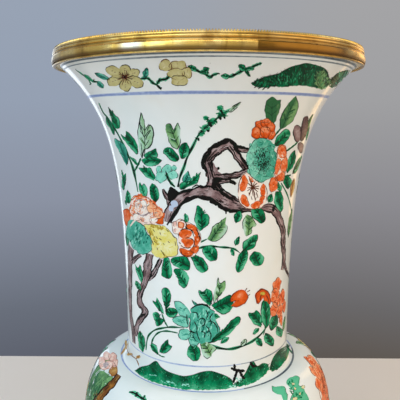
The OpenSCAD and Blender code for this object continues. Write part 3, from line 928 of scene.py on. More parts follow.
# path with its breadth at each point, then how the edges are drawn
trunk = {
    "main": ([(167, 222, 9), (170, 212, 10), (176, 203, 10), (184, 196, 8.6), (194, 193, 9), (203, 192, 11),
      (212, 194, 12), (222, 201, 12.6), (232, 205, 11.4), (243, 207, 9), (253, 208, 7)], (0.9, 1.5), (0.0, 1.0)),
    "arm": ([(209, 190, 8), (211, 180, 7.4), (209, 169, 8), (207, 161, 9), (213, 153, 9.6), (221, 147, 9),
      (229, 144, 9), (233, 149, 7), (237, 156, 6), (242, 163, 5.4), (246, 169, 5)], (1.5, 0.8), (0.16, 1.0)),
    "armTip": ([(233, 147, 5.4), (240, 149, 5), (249, 151, 4)], (1.0, 0.7), (0.12, 1.0)),
    "middleArm": ([(213, 179, 7), (222, 177, 5.6), (232, 176, 5), (243, 173, 5.4), (250, 170, 5)], (0.8, 0.9),
      (0.1, 1.0)),
    "curl": ([(216, 181, 4), (218, 186, 4), (223, 192, 4), (231, 197, 4), (238, 201, 4)], (0.8, 0.9), (0.05, 0.9)),
    "horn": ([(217, 183, 3.6), (224, 181, 3.4), (230, 181, 3), (236, 184, 1.6)], (0.6, 0.7), (0.1, 1.0)),
    "right": ([(260, 208, 5), (269, 208, 7.6), (275, 211, 7.6), (280, 221, 5.8), (283, 232, 4.6), (283, 246, 4),
      (284, 258, 3), (282, 270, 2)], (0.8, 0.8), (0.0, 1.0)),
    "rightFork": ([(284, 262, 2.4), (286, 270, 2), (290, 278, 1.4)], (0.5, 0.5), (0.0, 1.0)),
    "rockFork": ([(141, 255, 3), (136, 258, 3.6), (132, 263, 4)], (0.5, 0.6), (0.0, 0.9)),
    "rockRight": ([(150, 254, 6), (148, 264, 7.4), (147, 274, 8), (144, 284, 5.4), (140, 294, 4.8), (140, 303, 4.8),
      (144, 309, 5.6), (145, 313, 5.6), (141, 319, 5), (137, 326, 4.4), (135, 336, 4)], (0.8, 0.9), (0.0, 1.0)),
    "rockProng": ([(161, 259, 3.2), (157, 267, 4), (153, 275, 4.6), (148, 279, 5)], (0.6, 0.7), (0.0, 0.85)),
    "hook": ([(163, 189, 1.6), (165, 194, 3.4), (169, 200, 5), (171, 206, 6)], (0.6, 0.5), (0.0, 1.0)),
}
# heavy black of the old wood: closed shapes
trunkInk = {
    "knot": [(168, 191), (170, 187), (173, 188), (177, 191), (184, 191), (193, 188), (192, 191), (184, 193), (177, 194),
      (175, 196), (172, 201), (169, 201), (167, 196)],
    "crook": [(209, 163), (211, 172), (213, 178), (223, 178), (218, 180), (217, 185), (215, 190), (212, 188),
      (213, 180), (211, 172)],
    "spot": [(217, 167), (219, 167), (220, 169), (218, 170)], "hornTip": [(230, 181), (236, 184, True), (230, 183)],
    "rightMark": [(273, 206), (275, 207), (274, 211), (272, 210)],
    "rockHole": [(141, 314), (145, 313), (145, 315), (141, 317)],
}
# path and width in millimetres
trunkLines = {
    "armTop": ([(230, 140), (223, 143), (216, 146), (210, 149), (209, 154), (205, 158), (204, 163)], 1.9),
    "armTopRight": ([(229, 140), (234, 145), (238, 147), (249, 149)], 1.2),
    "armLeft": ([(204, 163), (206, 168), (208, 175), (208, 183), (202, 188), (197, 185), (192, 188)], 0.7),
    "ringInner": ([(213, 164), (211, 159), (215, 155), (219, 152)], 0.7),
    "loopOuter": ([(217, 183), (219, 187), (223, 193), (228, 196), (234, 199)], 1.0),
    "bottomEdge": ([(167, 225), (171, 219), (176, 212), (180, 206), (184, 202), (190, 199), (197, 197), (203, 198),
      (211, 199), (217, 203), (226, 211)], 1.9),
    "thorn": ([(226, 210), (226, 214)], 1.0), "bottomRight": ([(226, 211), (234, 210), (243, 211)], 1.0),
}
trunkBulge = [(209, 160), (214, 163), (216, 167), (219, 168), (217, 172), (222, 174), (212, 177), (208, 168)]
# close to the outline: look, stalk and point in pixels, width in millimetres
edgeLeaves = {
    "slim": ("olive", (304, 136), (313, 114), 7.0), "slimTwo": ("mid", (306, 141), (309, 126), 5.0),
    "right": ("deep", (292, 174), (302, 156), 8.0), "yellow": ("ochre", (291, 197), (294, 178), 8.4),
    "low": ("olive", (292, 209), (288, 238), 9.0), "cluster": ("olive", (283, 330), (285, 316), 6.4),
    "left": ("deep", (127, 246), (127, 231), 7.6), "side": ("mid", (127, 205), (125, 200), 3.4),
    "leftLow": ("mid", (127, 300), (126, 284), 6.0),
}
edgeLimb = [(131, 247, 9), (130, 262, 8.4), (130, 283, 7.6), (130, 300, 7.4), (131, 317, 7), (133, 330, 6.4),
    (134, 343, 5.6)]
paleVeins = [[(141, 125), (143, 134), (145, 138)], [(151, 130), (147, 136), (146, 140)],
    [(147, 131), (150, 125), (153, 129), (154, 136)], [(153, 140), (151, 145), (147, 149)],
    [(141, 113), (140, 121), (141, 131)], [(141, 143), (142, 150), (142, 158)]]
thornTwig = {
    "path": [(178, 187), (180, 177), (184, 167), (187, 158), (193, 146), (198, 136), (202, 131), (208, 125), (214, 121),
      (222, 114), (232, 109)],
    "tip": [(229, 111), (233, 106), (241, 102, True), (237, 108), (231, 112)],
    "thorns": [((199, 141), (198, 138)), ((203, 134), (201, 130)), ((207, 118), (210, 124)), ((209, 132), (206, 127)),
      ((212, 127), (209, 123)), ((219, 107), (223, 114)), ((221, 120), (219, 115)), ((225, 119), (223, 113))],
    "moss": [(205, 128, 5, 3.4, -0.8), (212, 122, 5.4, 3.4, -0.6), (206, 118, 2.6, 2.6, 0), (220, 108, 3, 3, 0),
      (222, 114, 5.4, 3.4, -0.6), (202, 133, 3.4, 2.6, -0.9)],
}
blooms = {
    "bud": [(161, 177, 5.4, 5.6), (167, 169, 5, 4.4), (159, 169, 2.8, 3.2), (173, 175, 4.6, 4.6), (174, 168, 2.6, 2.6)],
    "purple": [([(299, 152), (298, 145), (300, 142), (303, 145), (302, 152)], 0.55, 0.7),
      ([(293, 131), (295, 126), (298, 125), (301, 128), (301, 134), (300, 139), (298, 142), (295, 140)], 0.34, 0.62),
      ([(300, 134), (301, 125), (304, 118), (307, 116, True), (308, 120), (308, 127), (306, 134), (303, 140),
      (301, 141)], 0.80, 1.05)],
    "orangeTop": [(260, 125, 4.4, 4.6), (266, 123, 4.8, 4.2), (271, 127, 3.8, 4.8), (256, 133, 4.2, 5.6),
      (271, 134, 3.8, 5.2), (260, 136, 3.6, 5.2), (265, 132, 4.6, 5.8)],
    "orangeSide": [[(279, 156), (279, 151), (280, 146), (284, 146), (286, 150), (285, 156), (282, 158)],
      [(282, 160), (285, 157), (287, 160), (286, 168), (283, 172), (281, 168)], [(275, 173), (275, 166), (277, 159),
      (280, 161), (279, 168), (277, 174)], [(278, 178), (280, 173), (283, 172), (284, 175), (282, 180), (279, 181)],
      [(270, 190), (270, 183), (272, 178), (276, 180), (277, 185), (275, 190), (272, 192)],
      [(275, 178), (277, 175), (278, 177), (277, 180)]],
    "daisy": {"heart": (252.2, 187), "white": [(238, 193), (239, 183), (242, 175), (247, 173), (251, 176), (256, 181),
      (261, 183), (265, 185), (267, 192), (266, 201), (261, 207), (254, 209), (246, 208), (240, 203)],
      "ring": [[(241, 191), (240, 187), (241, 181), (244, 175), (246, 177), (247, 183), (245, 190)],
      [(241, 195), (245, 195), (247, 199), (250, 205), (247, 207), (243, 204), (241, 199)],
      [(250, 205), (255, 202), (259, 200), (261, 203), (257, 208), (252, 208)], [(260, 199), (261, 196), (264, 197),
      (264, 202), (261, 204)], [(260, 193), (260, 187), (263, 184), (265, 188), (265, 194), (262, 197)],
      [(248, 176), (249, 176), (253, 181), (251, 181)]], "edge": [[(238, 193), (239, 183), (242, 176), (246, 173)],
      [(238, 196), (240, 203), (246, 208), (254, 209), (261, 207)], [(266, 201), (267, 192), (265, 185)]],
      "stamens": [(249, 178), (251, 180), (255, 181), (257, 183), (259, 186), (259, 189), (258, 192), (255, 195),
      (253, 196), (249, 195), (247, 191), (247, 188), (248, 183), (250, 191)], "hairs": [[(249, 192), (249, 196)],
      [(254, 194), (255, 200)], [(256, 192), (258, 198)], [(251, 196), (252, 200)], [(256, 197), (255, 201)]]},
    "turquoiseRight": {"middle": (262, 161), "outline": [(250, 148), (253, 142), (258, 138), (264, 138), (269, 140),
      (273, 144), (275, 151), (276, 159), (275, 167), (273, 173), (269, 178), (265, 181), (260, 182), (256, 180),
      (251, 176), (249, 171), (248, 164), (247, 157), (248, 152)], "pale": [(250, 159, 3.4, 5.6), (253, 171, 4.6, 5.2),
      (262, 176, 6.4, 5), (270, 171, 4, 5.6), (253, 148, 3.6, 4.6), (263, 143, 6.4, 4.6), (273, 158, 3, 7),
      (271, 147, 3.4, 4)]},
    "turquoiseLeft": {"middle": (139, 237), "outline": [(128, 222), (133, 220), (140, 223), (145, 227), (148, 233),
      (152, 241), (151, 249), (147, 254), (142, 255), (137, 251), (132, 246), (129, 240), (127, 232)]},
    "yellow": {"outline": [(144, 225), (150, 224), (158, 225), (165, 227), (170, 232), (176, 239), (178, 246),
      (177, 253), (171, 257), (165, 257), (160, 258), (152, 253), (152, 246), (151, 237), (147, 231)],
      "ochre": [(156, 241, 3.6, 4.4), (157, 227, 8, 2.2), (151, 232, 1.8, 4.6), (164, 255, 2.2, 3)],
      "cream": [(168, 248, 8, 7), (160, 246, 4, 5), (163, 233, 5, 4)], "marks": [[(149, 230), (151, 236)],
      [(153, 229), (155, 232)], [(156, 236), (158, 239)], [(159, 238), (162, 240)], [(160, 232), (161, 235)],
      [(163, 243), (165, 245)], [(161, 250), (163, 253), (165, 256)], [(157, 247), (158, 250)],
      [(168, 241), (170, 243)], [(172, 234), (175, 238)], [(175, 241), (176, 246)], [(152, 240), (154, 245)],
      [(166, 229), (169, 232)], [(154, 241), (157, 243)]]},
    "white": {"outline": [(124, 211), (126, 208), (130, 206), (131, 200), (134, 196), (138, 195), (144, 196),
      (150, 200), (155, 205), (160, 210), (163, 214), (164, 221), (162, 224), (156, 224), (150, 224), (144, 225),
      (138, 222), (133, 221), (130, 227), (127, 226), (124, 219)], "rim": [(131, 214), (131, 207), (133, 200),
      (136, 197), (141, 196), (146, 199), (152, 202), (156, 207), (161, 211), (163, 217)],
      "lobe": [(124, 210), (128, 209), (130, 212), (131, 219), (130, 227), (126, 225), (124, 218)],
      "petals": [(136, 202, 5, 4.4), (145, 202, 5.4, 4.6), (152, 208, 4.6, 4.6), (158, 214, 4.8, 4.6),
      (134, 210, 3.8, 5), (147, 219, 5, 3.8), (154, 220, 4.2, 3.4), (137, 217, 4.4, 3.8)],
      "arcs": [[(134, 204), (138, 200), (144, 200), (147, 205), (146, 210)], [(133, 206), (135, 212), (139, 214)],
      [(149, 208), (153, 209), (154, 215)], [(150, 218), (155, 217), (159, 215)], [(137, 206), (139, 203), (142, 205),
      (141, 208)], [(140, 219), (142, 218), (145, 219)], [(156, 211), (160, 212), (161, 215)]],
      "patch": [(155, 220), (160, 218), (163, 219), (163, 224), (157, 223)],
      "streaks": [[(131, 214), (134, 217), (138, 219)], [(151, 206), (153, 211), (154, 216)]],
      "hearts": [(140, 207, 7.2, 7.6), (155, 214, 5.6, 5.2), (142, 220, 4.8, 3.8)]},
    "red": {"back": [(172, 224), (176, 221), (181, 219), (186, 222), (191, 223), (196, 227), (200, 233), (201, 241),
      (198, 250), (193, 256), (186, 256), (181, 251), (179, 243), (178, 234), (174, 233)],
      "petals": [[(187, 225), (192, 225), (196, 228), (198, 234), (196, 236), (193, 231), (188, 228)],
      [(195, 237), (199, 237), (200, 240), (197, 245), (195, 244), (195, 240)], [(194, 247), (198, 246), (198, 250),
      (195, 253), (191, 250)], [(181, 249), (185, 249), (190, 251), (193, 252), (191, 255), (187, 256), (182, 254)],
      [(180, 234), (181, 232), (184, 230), (189, 231), (191, 233), (190, 236), (186, 238), (182, 237)],
      [(182, 241), (183, 239), (188, 239), (192, 241), (192, 244), (189, 247), (185, 246), (184, 244)]],
      "curl": (181, 225, 3.2, 3.4), "pink": [(175, 224, 2.2, 2.8), (175, 230, 1.4, 2)],
      "arcs": [[(180, 231), (183, 229), (188, 229), (192, 231), (194, 237)], [(185, 238), (190, 238), (194, 241),
      (194, 245), (192, 248)], [(181, 245), (183, 247), (188, 248), (191, 247)], [(179, 233), (179, 236)],
      [(179, 242), (181, 244)], [(185, 226), (187, 229)], [(180, 221), (183, 220), (186, 223), (187, 227)],
      [(196, 229), (199, 234), (200, 240)], [(193, 246), (195, 245)], [(181, 249), (182, 254), (187, 256),
      (192, 255)]]},
    "budRed": {"outline": [(231, 301), (231, 297), (235, 292), (240, 290), (245, 291), (248, 297), (246, 302),
      (242, 305), (236, 307), (231, 306, True), (235, 302), (239, 300)], "stamens": [[(245, 291), (247, 288)],
      [(247, 292), (250, 290)], [(248, 296), (250, 294)]]},
    "ring": {"outline": [(257, 303), (255, 296), (258, 291), (262, 289), (267, 291), (270, 296), (270, 304), (266, 303),
      (264, 297), (261, 296), (260, 301)], "arcs": [[(259, 304), (256, 299), (256, 294), (259, 291), (263, 289),
      (268, 292), (270, 298)], [(260, 302), (260, 297), (262, 294)], [(266, 295), (268, 299), (269, 305)]]},
    "lowTurquoise": {"middle": (203, 323), "outline": [(190, 315), (191, 309), (196, 305), (204, 304), (209, 306),
      (214, 312), (215, 319), (218, 325), (219, 332), (215, 337), (210, 341), (202, 343), (196, 340), (193, 334),
      (189, 326)], "petals": [[(174, 301, True), (180, 302), (186, 306), (190, 312), (190, 318), (182, 316),
      (177, 311)], [(172, 319, True), (177, 316), (184, 316), (189, 320), (188, 327), (180, 326), (175, 323)],
      [(178, 335, True), (180, 330), (186, 329), (191, 332), (190, 338), (184, 340), (180, 339)],
      [(188, 338), (191, 332), (197, 332), (199, 341), (196, 347, True), (191, 345)]],
      "folds": [[(191, 309), (195, 306), (199, 305)], [(201, 304), (205, 305), (210, 308)],
      [(187, 314), (187, 320), (188, 325)], [(194, 321), (197, 327), (197, 333), (200, 341)],
      [(199, 320), (202, 318), (205, 320), (204, 325), (201, 326)], [(208, 321), (213, 322), (217, 327), (218, 333)],
      [(209, 330), (211, 335), (210, 340)], [(190, 331), (196, 333)], [(206, 310), (208, 315), (206, 319)],
      [(192, 312), (197, 313), (198, 318)], [(201, 331), (205, 333), (204, 338)], [(213, 313), (210, 318), (212, 324)],
      [(206, 326), (209, 329), (207, 333)]]},
    "cluster": [(277, 285, 4.8, 6), (275, 295, 4.6, 5.2), (282, 297, 4.2, 7), (278, 301, 5.6, 4.6), (284, 306, 3.2, 6),
      (274, 310, 4.8, 6), (280, 311, 4, 5.4), (281, 319, 2.4, 6)],
}


def unroll(canvas, hand, points):  # pixels close to the neck's outline, as millimetres on a sheet there
    angle, run = canvas([p[:2] for p in points])
    across = hand * (angle - angle[0]) * np.interp(run, wareRun, wareLine[:, 0])
    spots = [(a * 1000, (run[0] - b) * 1000, *p[2:]) for a, b, p in zip(across, run, points)]
    return sheetCanvas(float(angle[0]), float(run[0]), hand), spots


def paintNeck(hand, swap):
    dye = lambda colour: swap.get(colour, colour)
    for path, edges, trim in trunk.values():
        limb(path, edges=[e * 1.25 for e in edges], trim=trim, bark=1.6)
    home = brush["canvas"]
    brush["canvas"], path = unroll(home, hand, edgeLimb)
    limb(path, edges=(1.1, 0.8), bark=1.4)
    for kind, root, tip, width in edgeLeaves.values():
        brush["canvas"], (root, tip) = unroll(home, hand, (root, tip))
        leaf(kind, (root, tip, width))
    brush["canvas"] = home
    fill("aubergine", trunkBulge, 0.3, 0.45, 0.6, 0)
    for path, width in trunkLines.values():
        line(path, width * 1.2, 1.4, 0.0, ends=(0.5, 0.5))
    for shape in trunkInk.values():
        fill("ink", shape, 1.5, 0.0, border=0, shake=0.35)
    for spot in ((174.4, 204, 3.6, 3.6), (171, 208.4, 2.4, 3)):
        petal(*spot, "blue", 1.2, -0.3, -0.1, border=0)
    print("  trunk painted")
    for path, width, tone in neckTwigs.values():
        line(path, width * 1.7, 1.5, 0.30, "green", (0.5, 0.3))
        line(path, width, 1.9, tone, ends=(0.5, 0.3))
    spine = curve(thornTwig["path"])
    half = len(spine) // 2
    line(spine, 1.7, 1.6, 0.10, "green", (0.6, 1.0), ready=True)
    for x, y, rx, ry, turn in thornTwig["moss"]:
        petal(x, y, rx, ry, "green", 1.7, 0.36, 0.04, turn, 0)
        dabs([(x - rx * 0.8, y), (x + rx * 0.8, y)], "green", 1.8, (0.5, 1.2), (2, 4), (0.3, 0.95), 1.2, ry * 0.6)
    line(spine[:half + 2], 1.15, 1.9, 0.12, ends=(1.0, 0.5), ready=True)
    line(spine[half - 2:], 0.9, 1.9, 0.25, ends=(0.5, 0.5), ready=True)
    leaf("pale", thornTwig["tip"])
    for tip, root in thornTwig["thorns"]:
        line([root, tip], 1.5, 2.0, 0.15, ends=(1, 0.15))
    for _ in range(60):
        i = dice.randrange(half, len(spine) - 6)
        p = spine[i, :2]
        line([p, p + [roll(-2.2, 2.2), roll(-2.2, 2.2)]], 0.5, 2.0, roll(0.2, 0.5), ends=(1, 0.2))
    for k, (kind, outline) in enumerate(neckLeaves):
        leaf(kind, outline, 2.0 + 0.3 * (k % 4))
    lines(paleVeins, 0.6, 4.2, 0.15)
    print("  leaves painted")
    for k, spot in enumerate(blooms["bud"]):
        petal(*spot, dye("turquoise"), 3.0 + 0.5 * (k % 4), 0.12 + roll(-0.12, 0.12), 0.04 + roll(-0.08, 0.08),
            roll(-0.15, 0.15), 0.34, 0.3, 0.08, 1)
    line([(165.8, 170.6), (167.9, 178.2), (170.8, 184)], 0.9, 5.0, 0.1)
    for k, (shape, tone, rim) in enumerate(blooms["purple"]):
        fill("aubergine", shape, 3.0 + 0.6 * k, tone, rim, 0.55, 0.0)
    fill("blush", [(275, 179), (274.4, 168), (276.8, 158), (278.4, 149), (282, 145), (286, 150), (287, 160),
        (285.8, 170), (284, 178), (280, 181.4)], 2.9, 0.20, 0.70, 0.36, 0.95)
    for shape in blooms["orangeSide"]:
        x, y = np.mean(shape, 0)
        fill(dye("red"), [(x + (a - x) * 1.16, y + (b - y) * 1.08) for a, b in shape], 3.2, 0.44, 0.34, 0.26, 0.95,
            shake=0.4)
        dabs([(x, y - 2), (x + 0.4, y + 2)], dye("red"), 3.6, (0.5, 1.1), (1.4, 2.6), (0.0, 0.95), 0.7, 1.2, 0.8)
    fill(dye("red"), ellipse(264, 130.5, 9, 8.6), 2.9, 0.62, 0.70, 0.3, 0.98)
    for k, (x, y, rx, ry) in enumerate(blooms["orangeTop"]):  # paler at the tip, deep along the edge
        rx, ry = rx * 1.12, ry * 1.06
        fill(dye("red"), ellipse(x, y, rx, ry, roll(-0.15, 0.15), 0.05), 3.0 + 0.5 * (k % 4), 0.28, 0.66, 0.36, 0.98,
            shade=lambda p: 0.30 * np.clip((p[:, 1] - y) / ry, -0.8, 0.8))
        dabs([(x - rx * 0.3, y), (x + rx * 0.3, y)], dye("red"), 3.4 + 0.5 * (k % 4), (0.4, 0.8), (1.6, 2.8),
            (0.5, 0.8), 1.6, ry * 0.5, 1.3)
    daisy = blooms["daisy"]
    fill("blush", daisy["white"], 2.9, -0.1, 0.30, border=0)
    for shape in daisy["ring"]:
        middle = fill(dye("red"), shape, 3.4, 0.52, 0.36, 0.22, 0.95, shake=0.5)
        for _ in range(5):
            x, y = middle + [roll(-1.6, 1.6), roll(-2.4, 2.4)]
            line([(x, y), (x + roll(-0.8, 0.8), y + 1.8)], roll(0.8, 1.5), 3.8, pick((0.8, 0.05, 0.7)), dye("red"))
    lines(daisy["edge"], 0.5, 4.2, 0.95)
    for tip in daisy["stamens"]:
        line([[h + (t - h) * 0.1 for h, t in zip(daisy["heart"], tip)], tip], 0.62, 5.4, 0.95, ends=(1, 0.5))
    lines(daisy["hairs"], 0.5, 5.4, 0.9)
    petal(*daisy["heart"], 1.2, 1.6, "ink", 5.6, 0.85, 0.8, border=0)
    bloom = blooms["turquoiseRight"]
    cx, cy = bloom["middle"]
    fill(dye("turquoise"), bloom["outline"], 4.6, 0.34, 0.26, 0.42, 0.35, shake=0.4, shade=lambda p:
        0.30 * np.exp(-((p[:, 0] - cx) / 7) ** 2 - ((p[:, 1] - cy) / 10) ** 2) + 0.016 * (p[:, 0] - cx))
    for x, y, rx, ry in bloom["pale"]:
        petal(x, y, rx * 1.15, ry * 1.1, dye("turquoise"), 5.0 + roll(0, 0.4), 0.40 + 0.018 * (x - cx),
            0.30 + 0.018 * (x - cx), border=0.20, borderTone=0.5, wave=0.12, streaks=4)
    for _ in range(220):
        a, f, x, y = scatter(261.8, 160.4, 9.0, 13.4, 0.1, 1.0, 0.7)
        line([(x, y), (x + 1.2 * cos(a), y + 2.0 * sin(a))], roll(0.3, 0.62) * (1.25 - 0.5 * f), 5.8,
            pick((0.05, 0.4, 0.45)))
    for _ in range(70):
        a, _, x, y = scatter(cx, cy, 4.2, 7.4, 0.15, 1.0)
        line([(x, y), (x + 0.9 * cos(a + 0.5), y + 1.8 * sin(a + 0.5))], roll(0.4, 0.75), 6.2, pick((0.05, 0.3, 0.45)))
    white = blooms["white"]
    fill("blush", white["outline"], 3.0, 0.30, 0.45, 0.3, 1.0)
    fill(dye("red"), white["lobe"], 3.4, 0.42, 0.62, 0.34, 1.0)
    fill(dye("red"), white["patch"], 3.4, 0.55, 0.70, 0.3, 1.0)
    dabs(white["rim"], dye("red"), 3.4, (1.9, 3.0), (1.8, 3.4), (0.30, 0.72), 0.8, 0.9)
    inset = [(147 + (x - 147) * 0.84, 212 + (y - 212) * 0.84) for x, y in white["rim"]]
    dabs(inset, dye("red"), 4.6, (0.8, 1.7), (1.2, 2.4), (0.05, 0.62), 0.9, 1.5, 0.6)
    for path in white["streaks"]:
        dabs(path, dye("red"), 3.5, (1.0, 1.8), (1.6, 2.6), (0.05, 0.5), 0.6, 0.6)
    for k, spot in enumerate(white["petals"]):
        petal(*spot, "red" if k in (2, 3) else "blush", 3.9 + 0.2 * (k % 3), -0.25 if k in (2, 3) else 0.05,
            -0.05 if k in (2, 3) else 0.5, border=0.28, borderTone=1.0, streaks=2)
    for x, y, rx, ry in white["hearts"]:
        curls(x, y, rx, ry, 8, 5.4, 0.30, 0.36, "aubergine")
        curls(x, y, rx, ry, 8, 5.5, 0.25, 0.36, "red")
        curls(x, y, rx * 0.5, ry * 0.5, 4, 5.6, 0.95, 0.26)
    lines(white["arcs"], 0.55, 5.5, (0.15, 0.4), ("aubergine", "red", "red"))
    dabs([(138, 213.4), (142, 215.2), (146, 214.6), (149.4, 213)], "aubergine", 5.4, (0.7, 1.2), (1.4, 2.4), (0.1, 0.6),
        0.3, 0.4)
    yellow = blooms["yellow"]
    fill(dye("yellow"), yellow["outline"], 4.6, 0.42, 0.34, 0.34, 1.0, shake=0.5)
    for spot in yellow["cream"]:
        petal(*spot, dye("yellow"), 4.9, 0.06, 0.30, border=0, streaks=3)
    for x, y, rx, ry in yellow["ochre"]:
        dabs([(x - rx * 0.7, y - ry * 0.7), (x, y), (x + rx * 0.7, y + ry * 0.7)], dye("yellow"), 5.2, (0.8, 1.6),
            (1.6, 3.0), (0.75, 1.15), 1.5, 1.2, 0.8)
    lines(yellow["marks"], 0.55, 5.8, (1.0, 0.3, 0.9))
    left = blooms["turquoiseLeft"]
    fill(dye("turquoise"), left["outline"], 5.4, 0.62, 0.36, 0.34, 0.4, shake=0.5)
    for _ in range(46):
        _, _, x, y = scatter(*left["middle"], 10.5, 15.5, 0.05, 0.85)
        if abs((x - 139) / 12) + abs((y - 238) / 18) < 0.95:
            line([(x - 0.6, y + 1.4), (x + 0.6, y - 1.4)], roll(0.7, 1.5), 5.8, pick((0.1, 0.25, 0.9, 1.0)),
                dye("turquoise"))
    for _ in range(9):
        a = roll(0, 6.28)
        x, y = 138.4 + 2.6 * cos(a), 236.6 + 2.6 * sin(a)
        line([(x, y), (x + 0.9 * cos(a), y + 1.2 * sin(a))], 0.5, 6.2, 0.4)
    red = blooms["red"]
    fill("blush", red["back"], 3.0, 0.10, 0.40, 0.30, 1.0)
    for spot in red["pink"]:
        petal(*spot, "blush", 3.4, 0.95, 0.6, border=0.24)
    for k, shape in enumerate(red["petals"]):
        if k > 3:
            fill("blush", curve(shape, True) + [0.7, -0.4], 3.6, -0.1, 0.1, 0, ready=True, shake=0.6)
        heart = np.mean(shape, 0)
        wide = [heart + (np.array(p) - heart) * 1.16 for p in shape]
        middle = fill(dye("red"), wide, 4.0 + 0.3 * (k > 3), 0.60, 0.46, 0.30 if k < 4 else 0, 0.95)
        for _ in range(3):
            x, y = middle + [roll(-2, 2), roll(-1.2, 1.2)]
            line([(x - 1, y), (x + 1, y + roll(-0.6, 0.6))], roll(0.7, 1.4), 4.6, pick((0.85, 0.1, 0.8)), dye("red"))
    petal(*red["curl"], dye("red"), 3.8, -0.1, 0.60, border=0.40, streaks=2)
    lines(red["arcs"], 0.62, 5.8, (0.9, 0.1))
    fill(dye("red"), blooms["budRed"]["outline"], 3.6, 0.54, 0.74, 0.5, 1.0, shade=lambda p:
        -0.22 * np.exp(-((p[:, 0] - 240) ** 2 + (p[:, 1] - 296) ** 2) / 14))
    lines(blooms["budRed"]["stamens"], 0.45, 3.4, 0.95, ends=(1, 1))
    fill(dye("red"), blooms["ring"]["outline"], 3.4, 0.55, 0.80, 0.3, 1.0)
    petal(262.4, 293.6, 2.4, 1.8, dye("yellow"), 3.9, 0.8, 0.9, border=0)
    lines(blooms["ring"]["arcs"], 0.6, 4.6, 1.0)
    for x, y, rx, ry in blooms["cluster"]:
        brush["canvas"], _ = unroll(home, hand, [(x, y)])
        petal(0, 0, rx * 1.15, ry * 0.85, dye("red"), 3.2 + roll(0, 0.8), 0.50, 0.26, roll(-0.3, 0.3), 0.42, 0.95, 0.10,
            4)
    brush["canvas"] = home
    for kind, outline in (clusterFern, clusterDark):
        leaf(kind, outline, 5.6)
    low = blooms["lowTurquoise"]
    for shape in low["petals"]:
        middle = fill(dye("turquoise"), shape, 3.2, 0.16, 0.30, 0.42, 0.4)
        dabs([middle - [2.5, 0.5], middle + [2.5, 0.5]], dye("turquoise"), 3.7, (0.5, 1.0), (2, 4), (0.35, 0.9), 0.7,
            1.6)
    fill(dye("turquoise"), low["outline"], 4.2, 0.52, 0.46, 0.5, 0.25, shake=0.6)
    for _ in range(90):
        _, _, x, y = scatter(*low["middle"], 13, 17, 0.05, 0.86)
        line([(x - 0.4, y + 1.5), (x + 0.4, y - 1.5)], roll(0.5, 1.2), 4.7, pick((0.0, 0.15, 0.85, 1.05)),
            dye("turquoise"))
    lines(low["folds"], 0.75, 5.6, (0.1, 0.45))
    dabs([(199, 305), (204.6, 304.8), (209.6, 307.4)], "ink", 5.8, (0.8, 1.5), (1.4, 2.6), (0.0, 0.3), 0.6, 0.6)
    print("  flowers painted")


# The rim and root borders, and what the photograph shows of the shoulder
rimBorder = {
    "blossomOne": ((125, 77), [((107, 68), 10), ((125, 65), 10.4), ((139, 71), 8.6), ((143, 85), 9.8),
      ((126, 91), 10.6), ((108, 83), 9.8)]),
    "blossomTwo": [(165.5, 65.5, 6.4, 5.8), (178, 65.5, 8.8, 5), (187, 73, 4.8, 6), (176, 73.5, 8.6, 5.4),
      (179.5, 80.5, 8.8, 5)],
    "twigs": [[(76, 70), (82, 74), (87, 78), (93, 81), (99, 82)], [(88, 78), (91, 84)],
      [(140, 79), (146, 78), (149, 79), (153, 83), (158, 85)], [(157, 85), (161, 89)], [(157, 84), (160, 80), (166, 79),
      (170, 75)], [(190, 70), (196, 70), (200, 72), (204, 73), (210, 77), (213, 75), (219, 73)],
      [(221, 76), (228, 77), (234, 75), (244, 70), (250, 69)], [(250, 68), (256, 65), (262, 63)]],
    "leaves": [("fresh", ((95, 73), (110, 80), 4.6)), ("fresh", ((97, 81), (104, 88), 4.8)),
      ("soft", ((84, 74), (94, 82), 3.0)), ("fresh", ((144, 79), (147, 68), 6)), ("deep", ((188, 66), (197, 70), 5.4)),
      ("mid", ((202, 72), (209, 68), 5.4)), ("mid", ((200, 71), (209, 73), 4)), ("mid", ((221, 76), (230, 76), 5)),
      ("deep", ((246, 70), (238, 65), 6)), ("mid", ((245, 68), (254, 69), 4.4)), ("deep", ((245, 70), (250, 76), 3.6))],
    "mound": ([(254, 84), (257, 80), (268, 76), (278, 74), (283, 71), (291, 67), (298, 65), (306, 63), (316, 65),
      (324, 68), (328, 74), (329, 84)], [(255, 86), (262, 88), (272, 87), (284, 87), (296, 86), (306, 86), (316, 88),
      (323, 88), (328, 85)]),
    "moundBrown": ([(316, 74), (321, 70), (326, 72), (328, 78)], [(317, 86), (320, 89), (325, 89), (329, 85)]),
    "moundEdge": ([(330, 80), (334, 76), (340, 72), (348, 70)], [(331, 88), (335, 87), (340, 82), (347, 76)]),
    "spikes": [(252, 85), (254, 88), (258, 89), (262, 90), (267, 89)],
}
